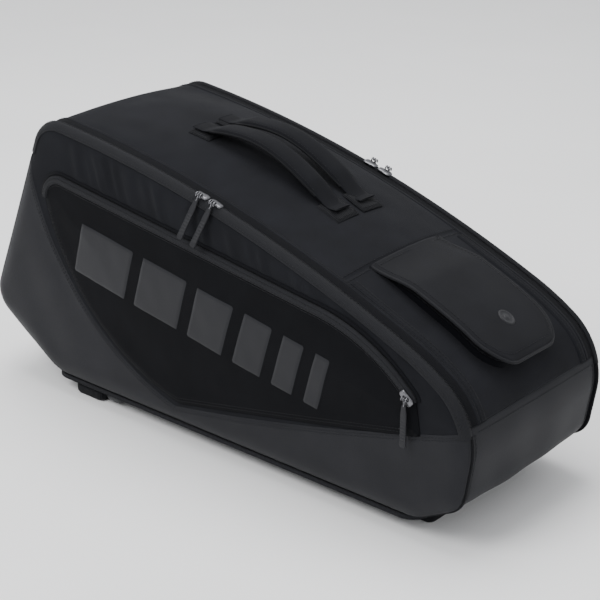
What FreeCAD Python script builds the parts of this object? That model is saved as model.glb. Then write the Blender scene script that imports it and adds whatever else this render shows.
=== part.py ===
"""Racket tournament bag: a drum-shaped bag lying on its shoulder straps.

Bag coordinates while modelling: x runs from the rear-most point towards the narrow front end, y across the bag
(near side negative), z up from the base seam.  The last step shifts every sub-part so that the origin is the
bottom centre of the whole bag.  All lengths are in millimetres.
"""
import FreeCAD
import Part
import math
import os
from FreeCAD import Placement, Rotation, Vector

DIMENSIONS = {
    # drum: the centre band that the two hinged side shells close
    "band_width": 248.0,
    "fabric": 5.0,
    "zip_width": 13.0,
    "crown": 22.0,
    "base_thickness": 10.0,
    "seam_groove": 3.0,
    "board_thickness": 2.4,
    "divider_thickness": 3.0,
    # side shells
    "shell_gap": 0.6,
    "rim_depth": 5.4,
    "bulge": 8.0,
    "foam_thickness": 3.5,
    "pocket_thickness": 5.0,
    "print_thickness": 0.6,
    # raised pod on the front of the top
    "pod_width": 128.0,
    "pod_foot": 2.5,
    "pod_height": 13.4,
    "lid_thickness": 4.0,
    "pod_wall": 3.0,
    # carry handles
    "handle_width": 30.0,
    "handle_thickness": 8.0,
    "handle_rise": 24.0,
    "handle_spacing": 46.0,
    # shoulder straps under the base
    "strap_width": 72.0,
    "strap_thickness": 12.5,
    "strap_clearance": 0.8,
    "strap_offset": 54.0,
    "webbing_width": 25.0,
    "webbing_thickness": 2.0,
    "webbing_drop": 7.0,
    "lock_thickness": 5.0,
    "lock_drop": 9.0,
    "clip_thickness": 8.0,
    "clip_drop": 10.0,
    # zip sliders
    "slider_length": 20.0,
    "slider_width": 11.5,
    "pin_radius": 0.9,
    "puller_length": 58.0,
    "puller_width": 8.0,
    "puller_thickness": 3.0,
}

doc = FreeCAD.newDocument("RacketBag")
sheet = doc.addObject("Spreadsheet::Sheet", "Dimensions")
for row, (alias, value) in enumerate(DIMENSIONS.items(), 1):
    sheet.set(f"A{row}", alias)
    sheet.set(f"B{row}", str(value))
    sheet.setAlias(f"B{row}", alias)
doc.recompute()

SIDES = {"near": -1, "far": 1}
HALF_BAND = sheet.get("band_width") / 2
SUB_PARTS = []


def size(alias):
    """A driving dimension from the sheet."""
    return float(sheet.get(alias))


def cell(formula):
    """An expression on the sheet: every alias in it gets the sheet's name in front."""
    words = []
    for word in formula.split():
        words.append(f"Dimensions.{word}" if word in DIMENSIONS else word)
    return " ".join(words)


# ---------------------------------------------------------------- side outline

class Stretch:
    """One straight or round stretch of the outline, from start to end, with the outward normals there."""

    def __init__(self, start, heading, length=0.0, radius=0.0, turn=0.0):
        self.start, self.heading = start, heading
        self.length, self.radius, self.turn = length, radius, turn

    def at(self, share, inset=0.0):
        """The point a share of the way along, moved inwards by inset."""
        angle = math.radians(self.heading - self.turn * share)
        first = math.radians(self.heading)
        if self.turn:
            centre = self.start + Vector(math.sin(first), 0, -math.cos(first)) * self.radius
            return centre + Vector(-math.sin(angle), 0, math.cos(angle)) * (self.radius - inset)
        along = Vector(math.cos(first), 0, math.sin(first)) * (self.length * share)
        return self.start + along - Vector(-math.sin(first), 0, math.cos(first)) * inset

    def normal(self, share):
        angle = math.radians(self.heading - self.turn * share)
        return Vector(-math.sin(angle), 0, math.cos(angle))

    def edge(self, inset=0.0, reverse=False):
        """This stretch in a sketch of the side view, whose axes are the bag's x and z."""
        points = [self.at(share, inset) for share in (0, 0.5, 1)]
        if reverse:
            points.reverse()
        flat = [Vector(p.x, p.z, 0) for p in points]
        return Part.Arc(*flat) if self.turn else Part.LineSegment(flat[0], flat[2])


def corner(before, at, after, setback):
    """A rounded corner of a clockwise outline whose rounding starts setback before the corner point."""
    towards = (at - before).normalize()
    away = (after - at).normalize()
    turn = math.degrees(towards.getAngle(away))
    radius = setback / math.tan(math.radians(turn / 2))
    heading = math.degrees(math.atan2(towards.z, towards.x))
    return Stretch(at - towards * setback, heading, radius=radius, turn=turn)


def straight(start, end):
    run = end - start
    return Stretch(start, math.degrees(math.atan2(run.z, run.x)), length=run.Length)


# where the arch over the bag begins, and the corner points of the straight stretches below it
ARCH_START = Vector(142, 0, 343)
KEEL_POINT = Vector(704, 0, 0)
HEEL_POINT = Vector(112, 0, 0)
TAIL_POINT = Vector(-6, 0, 76)
TOE_HEIGHT = 31.0
# how far before its corner point each rounding starts
SETBACK = {"toe": 17.0, "keel": 14.0, "heel": 20.0, "tail": 26.0, "crest": 35.7}
# the round stretches from the arch to the front: radius and turn in degrees
ROUNDS = {"arch": (1829.0, 17.5), "shoulder": (330.0, 10.5), "brow": (88.0, 36.0), "nose": (88.0, 28.6)}
ARCH_HEADING = -6.0


def heading_vector(heading):
    angle = math.radians(heading)
    return Vector(math.cos(angle), 0, math.sin(angle))


def bag_outline():
    """The bag's side view, clockwise from the rear top corner: a long arch, a round nose, a bevelled toe,
    a flat base, a chamfered tail and a slanted back."""
    rounds = {}
    start, heading = ARCH_START, ARCH_HEADING
    for name, (radius, turn) in ROUNDS.items():
        rounds[name] = Stretch(start, heading, radius=radius, turn=turn)
        start, heading = rounds[name].at(1), heading - turn
    down = heading_vector(heading)
    toe_point = start + down * ((start.z - TOE_HEIGHT) / -down.z)
    top_point = ARCH_START - heading_vector(ARCH_HEADING) * SETBACK["crest"]
    toe = corner(start, toe_point, KEEL_POINT, SETBACK["toe"])
    keel = corner(toe_point, KEEL_POINT, HEEL_POINT, SETBACK["keel"])
    heel = corner(KEEL_POINT, HEEL_POINT, TAIL_POINT, SETBACK["heel"])
    tail = corner(HEEL_POINT, TAIL_POINT, top_point, SETBACK["tail"])
    crest = corner(TAIL_POINT, top_point, ARCH_START, SETBACK["crest"])
    return {
        "crest": crest,
        **rounds,
        "front": straight(start, toe.at(0)),
        "toe": toe,
        "bevel": straight(toe.at(1), keel.at(0)),
        "keel": keel,
        "base": straight(keel.at(1), heel.at(0)),
        "heel": heel,
        "chamfer": straight(heel.at(1), tail.at(0)),
        "tail": tail,
        "back": straight(tail.at(1), crest.at(0)),
    }


OUTLINE = bag_outline()
ARCH = OUTLINE["arch"]
ARCH_CENTRE = ARCH.at(0, ARCH.radius)


def closed_outline(inset):
    return [stretch.edge(inset) for stretch in OUTLINE.values()]


def strip(names, outer, inner):
    """The closed loop of a strip along neighbouring stretches, between two insets."""
    chain = [OUTLINE[name] for name in names]
    loop = [stretch.edge(outer) for stretch in chain]
    first, last = chain[0], chain[-1]
    loop.append(flat_line(last.at(1, outer), last.at(1, inner)))
    loop.extend(stretch.edge(inner, reverse=True) for stretch in reversed(chain))
    loop.append(flat_line(first.at(0, inner), first.at(0, outer)))
    return loop


def flat_line(start, end):
    return Part.LineSegment(Vector(start.x, start.z, 0), Vector(end.x, end.z, 0))


def polygon(points):
    """A closed loop of straight lines through sketch points (x, y)."""
    corners = [Vector(x, y, 0) for x, y in points]
    return [Part.LineSegment(a, b) for a, b in zip(corners, corners[1:] + corners[:1])]


def rounded_box(low, high, radius):
    """A closed rectangle with round corners in a sketch."""
    (x0, y0), (x1, y1) = low, high
    cut = radius * (1 - math.sqrt(0.5))
    loop = []
    turns = [((x1, y0), (-1, 1)), ((x1, y1), (-1, -1)), ((x0, y1), (1, -1)), ((x0, y0), (1, 1))]
    spots = []
    for index, ((x, y), (sx, sy)) in enumerate(turns):
        along_x = Vector(x + sx * radius, y, 0)
        along_y = Vector(x, y + sy * radius, 0)
        middle = Vector(x + sx * cut, y + sy * cut, 0)
        pair = (along_x, middle, along_y) if index % 2 == 0 else (along_y, middle, along_x)
        spots.append(pair)
    for index, (start, middle, end) in enumerate(spots):
        loop.append(Part.Arc(start, middle, end))
        loop.append(Part.LineSegment(end, spots[(index + 1) % 4][0]))
    return loop


# ---------------------------------------------------------------- ways of making a sub-part

def new_body(label):
    body = doc.addObject("PartDesign::Body", label)
    body.Label = label
    SUB_PARTS.append(body)
    return body


def sketch_on(body, role, loops, offset=None):
    """A sketch of closed loops on one of the body's own planes, lifted along its normal by an expression."""
    sketch = body.newObject("Sketcher::SketchObject", f"{body.Label}_sketch")
    plane = next(f for f in body.Origin.OriginFeatures if f.Role == role)
    sketch.AttachmentSupport = [(plane, "")]
    sketch.MapMode = "FlatFace"
    if offset:
        sketch.setExpression("AttachmentOffset.Base.z", cell(offset))
    for loop in loops:
        sketch.addGeometry(loop, False)
    return sketch


def pad(body, sketch, length, symmetric=False):
    feature = body.newObject("PartDesign::Pad", f"{body.Label}_pad")
    feature.Profile = sketch
    feature.setExpression("Length", cell(length))
    if symmetric:
        feature.SideType = "Symmetric"
    return feature


def pocket_through(body, sketch):
    """Cuts the sketched loops away along the whole body, both ways."""
    doc.recompute()
    before = body.Shape.Volume
    feature = body.newObject("PartDesign::Pocket", f"{body.Label}_pocket")
    feature.Profile = sketch
    feature.Length = 2000
    feature.SideType = "Symmetric"
    doc.recompute()
    if body.Shape.Volume > before - 1:
        raise ValueError(f"the cut in {body.Label} removed nothing")
    return feature


def across(label, loops, width):
    """A sub-part whose side view is padded evenly across the bag."""
    body = new_body(label)
    pad(body, sketch_on(body, "XZ_Plane", loops), width, symmetric=True)
    return body


def side_slab(label, side, loops, distance, thickness):
    """A flat sub-part on one side of the bag, from distance outwards by thickness."""
    body = new_body(label)
    lift = distance if side < 0 else f"- ( {distance} ) - ( {thickness} )"
    pad(body, sketch_on(body, "XZ_Plane", loops, lift), thickness)
    return body


def solid(label, shape):
    """A sub-part whose shape is computed from the sheet's sizes."""
    feature = doc.addObject("Part::Feature", label)
    feature.Label = label
    feature.Shape = shape
    SUB_PARTS.append(feature)
    return feature


# ---------------------------------------------------------------- the drum: band, base and divider

# stations along the top: how many in each stretch
CROWN_STEPS = {"crest": 6, "arch": 16, "shoulder": 4, "brow": 6}
ACROSS = (-1.0, -0.75, -0.5, -0.25, 0.0, 0.25, 0.5, 0.75, 1.0)


def fullness(name, share):
    """How much of the crown's full height the top has, a share of the way along a stretch."""
    if name == "crest":
        return 0.3 * share
    if name == "arch":
        full = 0.3 + 0.7 * math.sin(min(share / 0.36, 1) * math.pi / 2)
        fall = max(share - 0.5, 0) / 0.5
        return full - (full - 0.1) * fall * fall * (3 - 2 * fall)
    if name == "shoulder":
        return 0.1 - 0.07 * share
    return 0.03 * (1 - share)


def crowned_surface(lift):
    """The crowned face of the top, a lift above its fabric's outer face."""
    half = HALF_BAND - size("zip_width") - 0.3
    rows = []
    for name, steps in CROWN_STEPS.items():
        first = 0 if name == "crest" else 1
        for step in range(first, steps + 1):
            share = step / steps
            foot, up = OUTLINE[name].at(share), OUTLINE[name].normal(share)
            rise = size("crown") * fullness(name, share)
            rows.append([foot + up * (rise * (1 - y * y) + lift) + Vector(0, y * half, 0) for y in ACROSS])
    surface = Part.BSplineSurface()
    surface.interpolate(rows)
    return surface.toShape()


def crowned_top(thickness):
    """A sheet over the arch, crowned across its width where the bag is full."""
    outer, inner = crowned_surface(0), crowned_surface(-thickness)
    rims = [Part.makeRuledSurface(a, b) for a, b in zip(outer.Edges, inner.Edges)]
    skin = Part.Shell([outer, inner] + rims)
    skin.sewShape()
    sheet_solid = Part.Solid(skin)
    if sheet_solid.Volume < 0:
        sheet_solid.reverse()
    return sheet_solid


TOP_PANEL = crowned_top(size("fabric"))


def top_z(x, y):
    """Height of the top panel's outer face at (x, y)."""
    plumb = Part.makeLine(Vector(x, y, 100), Vector(x, y, 500))
    return max(vertex.Z for vertex in plumb.common(TOP_PANEL).Vertexes)


def arch_z(x):
    """Height of the arch at x."""
    return ARCH_CENTRE.z + math.sqrt(ARCH.radius ** 2 - (x - ARCH_CENTRE.x) ** 2)


def arch_slope(x):
    """The arch's climb in degrees at x; it falls towards the front."""
    return -math.degrees(math.asin((x - ARCH_CENTRE.x) / ARCH.radius))


def arch_normal(x):
    """The arch's outward normal at x."""
    slope = math.radians(arch_slope(x))
    return Vector(-math.sin(slope), 0, math.cos(slope))


def make_drum():
    solid("top_panel", TOP_PANEL)
    across("rear_panel", [strip(["chamfer", "tail", "back"], 0, size("fabric"))], "band_width")
    across("front_panel", [strip(["nose", "front", "toe", "bevel"], 0, size("fabric"))], "band_width")

    base = new_body("base_panel")
    low_x, high_x = OUTLINE["heel"].at(0.9).x, OUTLINE["keel"].at(0.6).x
    edge = HALF_BAND + 1
    plan = rounded_box((low_x, -edge), (high_x, edge), 24)
    pad(base, sketch_on(base, "XY_Plane", [plan], "- seam_groove - base_thickness"), "base_thickness")

    board = new_body("base_board")
    inner = HALF_BAND - 3
    plan = rounded_box((low_x + 14, -inner), (high_x - 14, inner), 20)
    pad(board, sketch_on(board, "XY_Plane", [plan], "- seam_groove + 0.2"), "board_thickness")

    inset = size("fabric") + 0.4
    divider = across("center_divider", [closed_outline(inset)], "divider_thickness")
    window = polygon([(-50, -10), (900, -10), (900, 6), (-50, 6)])
    pocket_through(divider, sketch_on(divider, "XZ_Plane", [window]))


def make_band_zips():
    """The zip tape sewn along each edge of the top panel, from the rear corner to the front end."""
    names = ["crest", "arch", "shoulder", "brow"]
    for name, side in SIDES.items():
        loops = [strip(names, 0, 2.4)]
        side_slab(f"{name}_band_zip", side, loops, "band_width / 2 - zip_width", "zip_width")


# ---------------------------------------------------------------- side shells

SHELL_STEPS = [("0", 0.5), ("bulge * 0.7", 8.0), ("bulge", 26.0)]


def shell_loft(body, kind, side, steps):
    """Joins outlines of growing inset at growing distance from the band, ruled like cut fabric."""
    sketches = []
    for distance, inset in steps:
        lift = f"( {distance} ) * {-side}"
        sketches.append(sketch_on(body, "XZ_Plane", [closed_outline(inset)], lift))
    loft = body.newObject(f"PartDesign::{kind}", f"{body.Label}_{kind}")
    loft.Profile = sketches[0]
    loft.Sections = sketches[1:]
    loft.Ruled = True
    return loft


# the seam between a side's two fabrics: it falls from the rear, dips near the base and rises to the front
SEAM_REAR, SEAM_DIP, SEAM_FRONT = Vector(84, 300, 0), Vector(338, 22, 0), Vector(800, 137, 0)
# the corners of a frame drawn well outside the bag, as left, right, bottom and top
LEFT, RIGHT, BOTTOM, TOP = -60, 800, -60, 420


def fabric_region(around):
    """The area between the seam and a chain of points outside the bag, from the seam's front to its rear."""
    fall = Part.Arc(SEAM_REAR, Vector(158, 138, 0), SEAM_DIP)
    rise = Part.Arc(SEAM_DIP, Vector(560, 68, 0), SEAM_FRONT)
    chain = [SEAM_FRONT] + [Vector(x, y, 0) for x, y in around] + [SEAM_REAR]
    return [fall, rise] + [Part.LineSegment(a, b) for a, b in zip(chain, chain[1:])]


def dark_region():
    """The upper fabric of a side: everything above the seam."""
    return fabric_region([(RIGHT, TOP), (SEAM_REAR.x, TOP)])


def grey_region():
    """The coated lower fabric of a side: the rest of the outline."""
    return fabric_region([(RIGHT, BOTTOM), (LEFT, BOTTOM), (LEFT, TOP), (SEAM_REAR.x, TOP)])


def shell_panel(label, side, cut_away):
    """One fabric of a side shell: the hollow shell less the region of the other fabric."""
    body = new_body(label)
    start = "band_width / 2 + shell_gap + rim_depth"
    outer = [(f"{start} + {grow}", inset) for grow, inset in SHELL_STEPS]
    wall = size("fabric") - 1
    inner = [(f"{start} - 1 + {grow}", inset + wall) for grow, inset in SHELL_STEPS[:2]]
    inner.append((f"{start} + bulge - 3", 30.0))
    shell_loft(body, "AdditiveLoft", side, outer)
    shell_loft(body, "SubtractiveLoft", side, inner)
    pocket_through(body, sketch_on(body, "XZ_Plane", [cut_away]))
    return body


ZIP_NAMES = ["crest", "arch", "shoulder", "brow"]
SEWN_NAMES = ["nose", "front", "toe", "bevel", "keel", "base", "heel", "chamfer", "tail", "back"]
POCKET_FACE = "band_width / 2 + shell_gap + rim_depth + bulge + 0.5"
POCKET_RUN_END, POCKET_BEND_END = Vector(560, 219, 0), Vector(704, 150, 0)
POCKET_BEND = Part.Arc(POCKET_RUN_END, Vector(640, 196, 0), POCKET_BEND_END)


def pocket_loop():
    """The side pocket's panel: its zip runs straight under the shoulder and bends down near the front."""
    start = Vector(150, 277, 0)
    tip, dip = Vector(712, 106, 0), Vector(346, 28, 0)
    rise = Part.Arc(tip, Vector(540, 68, 0), dip)
    fall = Part.Arc(dip, Vector(167, 138, 0), Vector(114, 246, 0))
    corner_arc = Part.Arc(Vector(114, 246, 0), Vector(123, 268, 0), start)
    return [Part.LineSegment(start, POCKET_RUN_END), POCKET_BEND, Part.LineSegment(POCKET_BEND_END, tip),
            rise, fall, corner_arc]


BAR_WIDTHS = (92.0, 74.0, 58.0, 44.0, 32.0, 22.0)
BAR_START = Vector(168, 160, 0)
BAR_GAP, BAR_LEAN, BAR_HEIGHT = 16.0, 20.0, 68.0
# how much the row of bars drops for each millimetre along it
BAR_FALL = 0.165


def print_loops():
    """A plain row of slanted bars, each narrower than the one before."""
    loops = []
    x = BAR_START.x
    for width in BAR_WIDTHS:
        rear_z = BAR_START.y - (x - BAR_START.x) * BAR_FALL
        front_z = rear_z - width * BAR_FALL
        corners = [(x, rear_z), (x + width, front_z)]
        corners += [(x + width + BAR_LEAN, front_z + BAR_HEIGHT), (x + BAR_LEAN, rear_z + BAR_HEIGHT)]
        loops.append(polygon(corners))
        x += width + BAR_GAP
    return loops


RIM_INSET, RIM_INNER = 0.5, 4.0
FOAM_INSET = 30.6


def make_side(name, side):
    """One side shell: its zip half and binding, two fabrics, foam, pocket and print."""
    rim_start = "band_width / 2 + shell_gap"
    side_slab(f"{name}_side_zip", side, [strip(ZIP_NAMES, RIM_INSET, RIM_INNER)], rim_start, "rim_depth")
    side_slab(f"{name}_side_binding", side, [strip(SEWN_NAMES, RIM_INSET, RIM_INNER)], rim_start, "rim_depth")
    shell_panel(f"{name}_side_panel", side, grey_region())
    shell_panel(f"{name}_lower_panel", side, dark_region())
    face = f"{rim_start} + rim_depth + bulge - 3.3 - foam_thickness"
    side_slab(f"{name}_foam_lining", side, [closed_outline(FOAM_INSET)], face, "foam_thickness")
    side_slab(f"{name}_pocket_panel", side, [pocket_loop()], POCKET_FACE, "pocket_thickness")
    face = f"{POCKET_FACE} + pocket_thickness"
    side_slab(f"{name}_side_print", side, print_loops(), face, "print_thickness")


# ---------------------------------------------------------------- zip sliders and pullers

def box_at(length, width, height, centre):
    corner_point = centre - Vector(length / 2, width / 2, height / 2)
    return Part.makeBox(length, width, height, corner_point)


def round_along_x(radius, length, centre):
    return Part.makeCylinder(radius, length, centre - Vector(length / 2, 0, 0), Vector(1, 0, 0))


def slider_shape(tilt=0, shift=0):
    """A slider whose hinge pin lies along x at the origin: wings on the zip, two ears and the pin.
    The wings lie below the pin, shifted along y and turned by tilt in the plane of the zip."""
    wings = box_at(size("slider_length"), size("slider_width"), 2.6, Vector(0, shift, -3.6))
    wings = wings.makeFillet(1.1, wings.Edges)
    wings.rotate(Vector(0, shift, 0), Vector(0, 0, 1), tilt)
    shape = wings
    for ear_side in (-1, 1):
        ear = box_at(1.6, 4.4, 5.0, Vector(ear_side * 3.2, 0, -1.3))
        shape = shape.fuse(ear)
    return shape.fuse(round_along_x(size("pin_radius"), 7.0, Vector(0, 0, 0))).removeSplitter()


def puller_shape(length):
    """A moulded tab that hangs from the slider's pin along minus z, with its eye at the origin."""
    width, thick = size("puller_width"), size("puller_thickness")
    eye = round_along_x(2.0, 4.2, Vector(0, 0, 0))
    neck = box_at(3.6, 1.8, 7.0, Vector(0, 0, -4.6))
    tab = box_at(width, thick, length - 7, Vector(0, 0, -7 - (length - 7) / 2))
    tab = tab.makeFillet(thick * 0.45, tab.Edges)
    hole = round_along_x(size("pin_radius") + 0.3, 10, Vector(0, 0, 0))
    return eye.fuse(neck).fuse(tab).cut(hole).removeSplitter()


def placed(shape, turn, point):
    shape = shape.copy()
    shape.Placement = Placement(point, turn).multiply(shape.Placement)
    return shape


def zip_frame(side, slope):
    """Turns slider coordinates so that x follows the zip's slope and inboard points to the bag's middle."""
    tilt = Rotation(Vector(0, 1, 0), -slope)
    if side > 0:
        return tilt.multiply(Rotation(Vector(0, 0, 1), 180))
    return tilt


MAIN_SLIDERS = {"near": (381, 402), "far": (428, 450)}
PULLER_LEAN = 23
PIN_OUT, PIN_UP = 10.3, 5.6


def make_main_sliders(name, side):
    """Two sliders on each long zip, parted in the middle, with their pullers hanging outside the shell."""
    inboard = size("slider_width") / 2 + 0.8
    for end, x in zip(("rear", "front"), MAIN_SLIDERS[name]):
        pin = Vector(x, side * (HALF_BAND + PIN_OUT), arch_z(x)) + arch_normal(x) * PIN_UP
        frame = zip_frame(side, arch_slope(x))
        solid(f"{name}_{end}_slider", placed(slider_shape(shift=inboard), frame, pin))
        swing = Rotation(Vector(1, 0, 0), -PULLER_LEAN)
        solid(f"{name}_{end}_puller", placed(puller_shape(size("puller_length")), frame.multiply(swing), pin))


ZIP_INSET = 6.0


def make_pocket_slider(name, side):
    """The slider parked at the closed end of the side pocket's zip; its puller hangs straight down."""
    face = HALF_BAND + size("shell_gap") + size("rim_depth") + size("bulge") + 0.5 + size("pocket_thickness")
    circle = POCKET_BEND.toShape().Curve
    out = (POCKET_BEND_END + Vector(-4, 4, 0) - circle.Center).normalize()
    spot = circle.Center + out * (circle.Radius - ZIP_INSET)
    pin = Vector(spot.x, side * (face + 5.3), spot.y)
    heading = math.degrees(math.atan2(-out.x, out.y))
    upright = Rotation(Vector(1, 0, 0), -side * 90)
    solid(f"{name}_pocket_slider", placed(slider_shape(tilt=-side * heading), upright, pin))
    solid(f"{name}_pocket_puller", placed(puller_shape(size("puller_length")), Rotation(), pin))


# ---------------------------------------------------------------- pod with its hinged lid

POD_REAR, POD_FRONT = 578.0, 748.0
POD_SLIDER_X = 650.0
BADGE_X, BADGE_RADIUS = 712.0, 9.0


def lifted(names, low, high):
    """A strip above the outline, between two heights."""
    return strip(names, -high, -low)


def pod_plan(inset):
    """The pod from above: square at its rear seam, round at the front corners."""
    half = size("pod_width") / 2 - inset
    front, rear, radius = POD_FRONT - inset, POD_REAR + inset, 34 - inset
    cut = radius * (1 - math.sqrt(0.5))
    line_ends = [Vector(rear, -half, 0), Vector(front - radius, -half, 0)]
    near_arc = Part.Arc(line_ends[1], Vector(front - cut, -half + cut, 0), Vector(front, -half + radius, 0))
    far_arc = Part.Arc(Vector(front, half - radius, 0), Vector(front - cut, half - cut, 0),
                       Vector(front - radius, half, 0))
    return [Part.LineSegment(*line_ends), near_arc,
            Part.LineSegment(Vector(front, -half + radius, 0), Vector(front, half - radius, 0)), far_arc,
            Part.LineSegment(Vector(front - radius, half, 0), Vector(rear, half, 0)),
            Part.LineSegment(Vector(rear, half, 0), line_ends[0])]


def plan_prism(inset):
    """The pod's plan as a tall solid, to cut the lifted strips with."""
    face = Part.Face(Part.Wire([edge.toShape() for edge in pod_plan(inset)]))
    face.translate(Vector(0, 0, 60))
    return face.extrude(Vector(0, 0, 340))


def lifted_band(low, high):
    """A sheet that follows the top from low to high above it, as wide as the pod."""
    edges = [edge.toShape() for edge in lifted(["arch", "shoulder", "brow"], low, high)]
    face = Part.Face(Part.Wire(Part.__sortEdges__(edges)))
    face.rotate(Vector(0, 0, 0), Vector(1, 0, 0), 90)
    face.translate(Vector(0, 100, 0))
    return face.extrude(Vector(0, -200, 0))


def make_pod():
    """The pod's wall stands on the top panel; the lid closes it and turns up about its rear seam."""
    top = size("pod_foot") + size("pod_height")
    wall = lifted_band(size("pod_foot"), top).common(plan_prism(0)).cut(plan_prism(size("pod_wall")))
    wall = wall.cut(crowned_top(30))
    solid("pod_gusset", wall.removeSplitter())
    zip_ring = lifted_band(top + 0.1, top + 2.1).common(plan_prism(0)).cut(plan_prism(4))
    solid("pod_zip", zip_ring.removeSplitter())
    lid = lifted_band(top + 2.5, top + 2.5 + size("lid_thickness")).common(plan_prism(0.5))
    solid("pod_lid", lid.removeSplitter())
    shoulder = OUTLINE["shoulder"]
    share = (BADGE_X - shoulder.start.x) / (shoulder.at(1).x - shoulder.start.x)
    place, up = shoulder.at(share), shoulder.normal(share)
    foot = place + up * (top + 2.6 + size("lid_thickness"))
    badge = Part.makeCylinder(BADGE_RADIUS, 1.2, foot, up)
    solid("pod_badge", badge.makeFillet(0.5, badge.Edges[:1]))


def make_pod_slider():
    """The pod's slider on the far wall, with a short puller lying forwards along it."""
    slope = arch_slope(POD_SLIDER_X)
    up = arch_normal(POD_SLIDER_X)
    place = Vector(POD_SLIDER_X, 0, arch_z(POD_SLIDER_X)) + up * (size("pod_foot") + 9)
    pin = place + Vector(0, size("pod_width") / 2 + 5.4, 0)
    along_zip = Rotation(Vector(0, 1, 0), -slope)
    flat_on_wall = along_zip.multiply(Rotation(Vector(1, 0, 0), -90)).multiply(Rotation(Vector(0, 0, 1), 90))
    solid("pod_slider", placed(slider_shape(tilt=90), flat_on_wall, pin))
    solid("pod_puller", placed(puller_shape(34), along_zip.multiply(Rotation(Vector(0, 1, 0), -90)), pin))


# ---------------------------------------------------------------- carry handles

HANDLE_ENDS = (290.0, 494.0)


def handle_foot(end, y):
    """Where a handle's centre line meets the top panel."""
    return Vector(HANDLE_ENDS[end], y, top_z(HANDLE_ENDS[end], y) + 2)


def bowed_bar(y, width, low, high, rise):
    """A bar between the handle's ends that bows upwards by rise, low to high above its chord."""
    first, last = handle_foot(0, y), handle_foot(1, y)
    lower = [first, (first + last) / 2 + Vector(0, 0, rise), last]
    lower = [Vector(point.x, 0, point.z + low) for point in lower]
    upper = [point + Vector(0, 0, high - low) for point in lower]
    edges = [Part.Arc(*lower), Part.LineSegment(lower[2], upper[2]), Part.Arc(*reversed(upper)),
             Part.LineSegment(upper[0], lower[0])]
    face = Part.Face(Part.Wire([edge.toShape() for edge in edges]))
    face.translate(Vector(0, y - width / 2, 0))
    return face.extrude(Vector(0, width, 0))


def sewn_patch(x, y, length, width):
    """A flat patch laid on the top panel at (x, y), tilted along and across to lie on it."""
    reach = 12
    along = Vector(2 * reach, 0, top_z(x + reach, y) - top_z(x - reach, y)).normalize()
    over = Vector(0, 2 * reach, top_z(x, y + reach) - top_z(x, y - reach)).normalize()
    turn = Rotation(along, over, along.cross(over), "XYZ")
    return placed(box_at(length, width, 1.6, Vector(0, 0, 1.7)), turn, Vector(x, y, top_z(x, y)))


def make_handles():
    """Two padded carry straps whose sewn ends lie on patches on the top panel."""
    width, thick, rise = size("handle_width"), size("handle_thickness"), size("handle_rise")
    patches = []
    for name, side in SIDES.items():
        y = side * size("handle_spacing") / 2
        middle = (HANDLE_ENDS[0] + HANDLE_ENDS[1]) / 2
        free = box_at(HANDLE_ENDS[1] - HANDLE_ENDS[0] - 52, 100, 400, Vector(middle, y, 300))
        webbing = bowed_bar(y, width - 8, 2.6, 4.4, rise).common(free)
        solid(f"{name}_handle_webbing", webbing)
        bar = bowed_bar(y, width, 4.6, 4.6 + thick, rise).common(free)
        solid(f"{name}_handle_pad", bar.makeFillet(3.2, [e for e in bar.Edges if e.Length > 100]))
        for end in (0, 1):
            patches.append(sewn_patch(HANDLE_ENDS[end], y, 30, width))
    solid("handle_patches", Part.makeCompound(patches))


# ---------------------------------------------------------------- shoulder straps

STRAP_FRONT, STRAP_BACK, CLIP_X = 664.0, 306.0, 203.0
ANCHOR_Y = 98.0
# length of the front anchors; length and width of the rear ones
FRONT_ANCHOR, REAR_ANCHOR = 34.0, (52.0, 44.0)


def make_straps():
    """Two backpack straps flat against the base, each hinged at its sewn front end."""
    floor = -size("seam_groove") - size("base_thickness")
    thick = size("strap_thickness")
    front_anchors, rear_anchors = [], []
    for name, side in SIDES.items():
        y = side * size("strap_offset")
        half = size("strap_width") / 2

        pad_body = new_body(f"{name}_strap_pad")
        plan = rounded_box((STRAP_BACK, y - half), (STRAP_FRONT, y + half), 20)
        underside = "- seam_groove - base_thickness - strap_clearance"
        level = f"{underside} - strap_thickness"
        pad(pad_body, sketch_on(pad_body, "XY_Plane", [plan], level), "strap_thickness")

        reach = size("webbing_width") / 2
        end_y = side * ANCHOR_Y
        lock = new_body(f"{name}_strap_ladder_lock")
        frame = rounded_box((STRAP_BACK - 13, y - reach - 5), (STRAP_BACK - 0.4, y + reach + 5), 3)
        slot = polygon([(STRAP_BACK - 10, y - reach), (STRAP_BACK - 5, y - reach),
                        (STRAP_BACK - 5, y + reach), (STRAP_BACK - 10, y + reach)])
        pad(lock, sketch_on(lock, "XY_Plane", [frame, slot], f"{underside} - lock_drop"), "lock_thickness")

        belt = new_body(f"{name}_strap_webbing")
        plan = polygon([(CLIP_X + 14.4, end_y - reach), (STRAP_BACK - 13.4, y - reach),
                        (STRAP_BACK - 13.4, y + reach), (CLIP_X + 14.4, end_y + reach)])
        pad(belt, sketch_on(belt, "XY_Plane", [plan], f"{underside} - webbing_drop"), "webbing_thickness")

        clip = new_body(f"{name}_strap_clip")
        plan = rounded_box((CLIP_X - 14, end_y - reach - 4), (CLIP_X + 14, end_y + reach + 4), 5)
        pad(clip, sketch_on(clip, "XY_Plane", [plan], f"{underside} - clip_drop"), "clip_thickness")

        drop = floor - 0.2 - thick / 2 - 1.2
        front = box_at(FRONT_ANCHOR, 2 * half + 4, thick + 2.4, Vector(STRAP_FRONT + 19, y, drop))
        rear = box_at(*REAR_ANCHOR, thick + 2.4, Vector(CLIP_X - 41, end_y, drop))
        for box, group in ((front, front_anchors), (rear, rear_anchors)):
            upright = [edge for edge in box.Edges if edge.BoundBox.ZLength > 5]
            group.append(box.makeFillet(8, upright))
    solid("front_strap_anchors", Part.makeCompound(front_anchors))
    solid("rear_strap_anchors", Part.makeCompound(rear_anchors))


# ---------------------------------------------------------------- assembly

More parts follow.
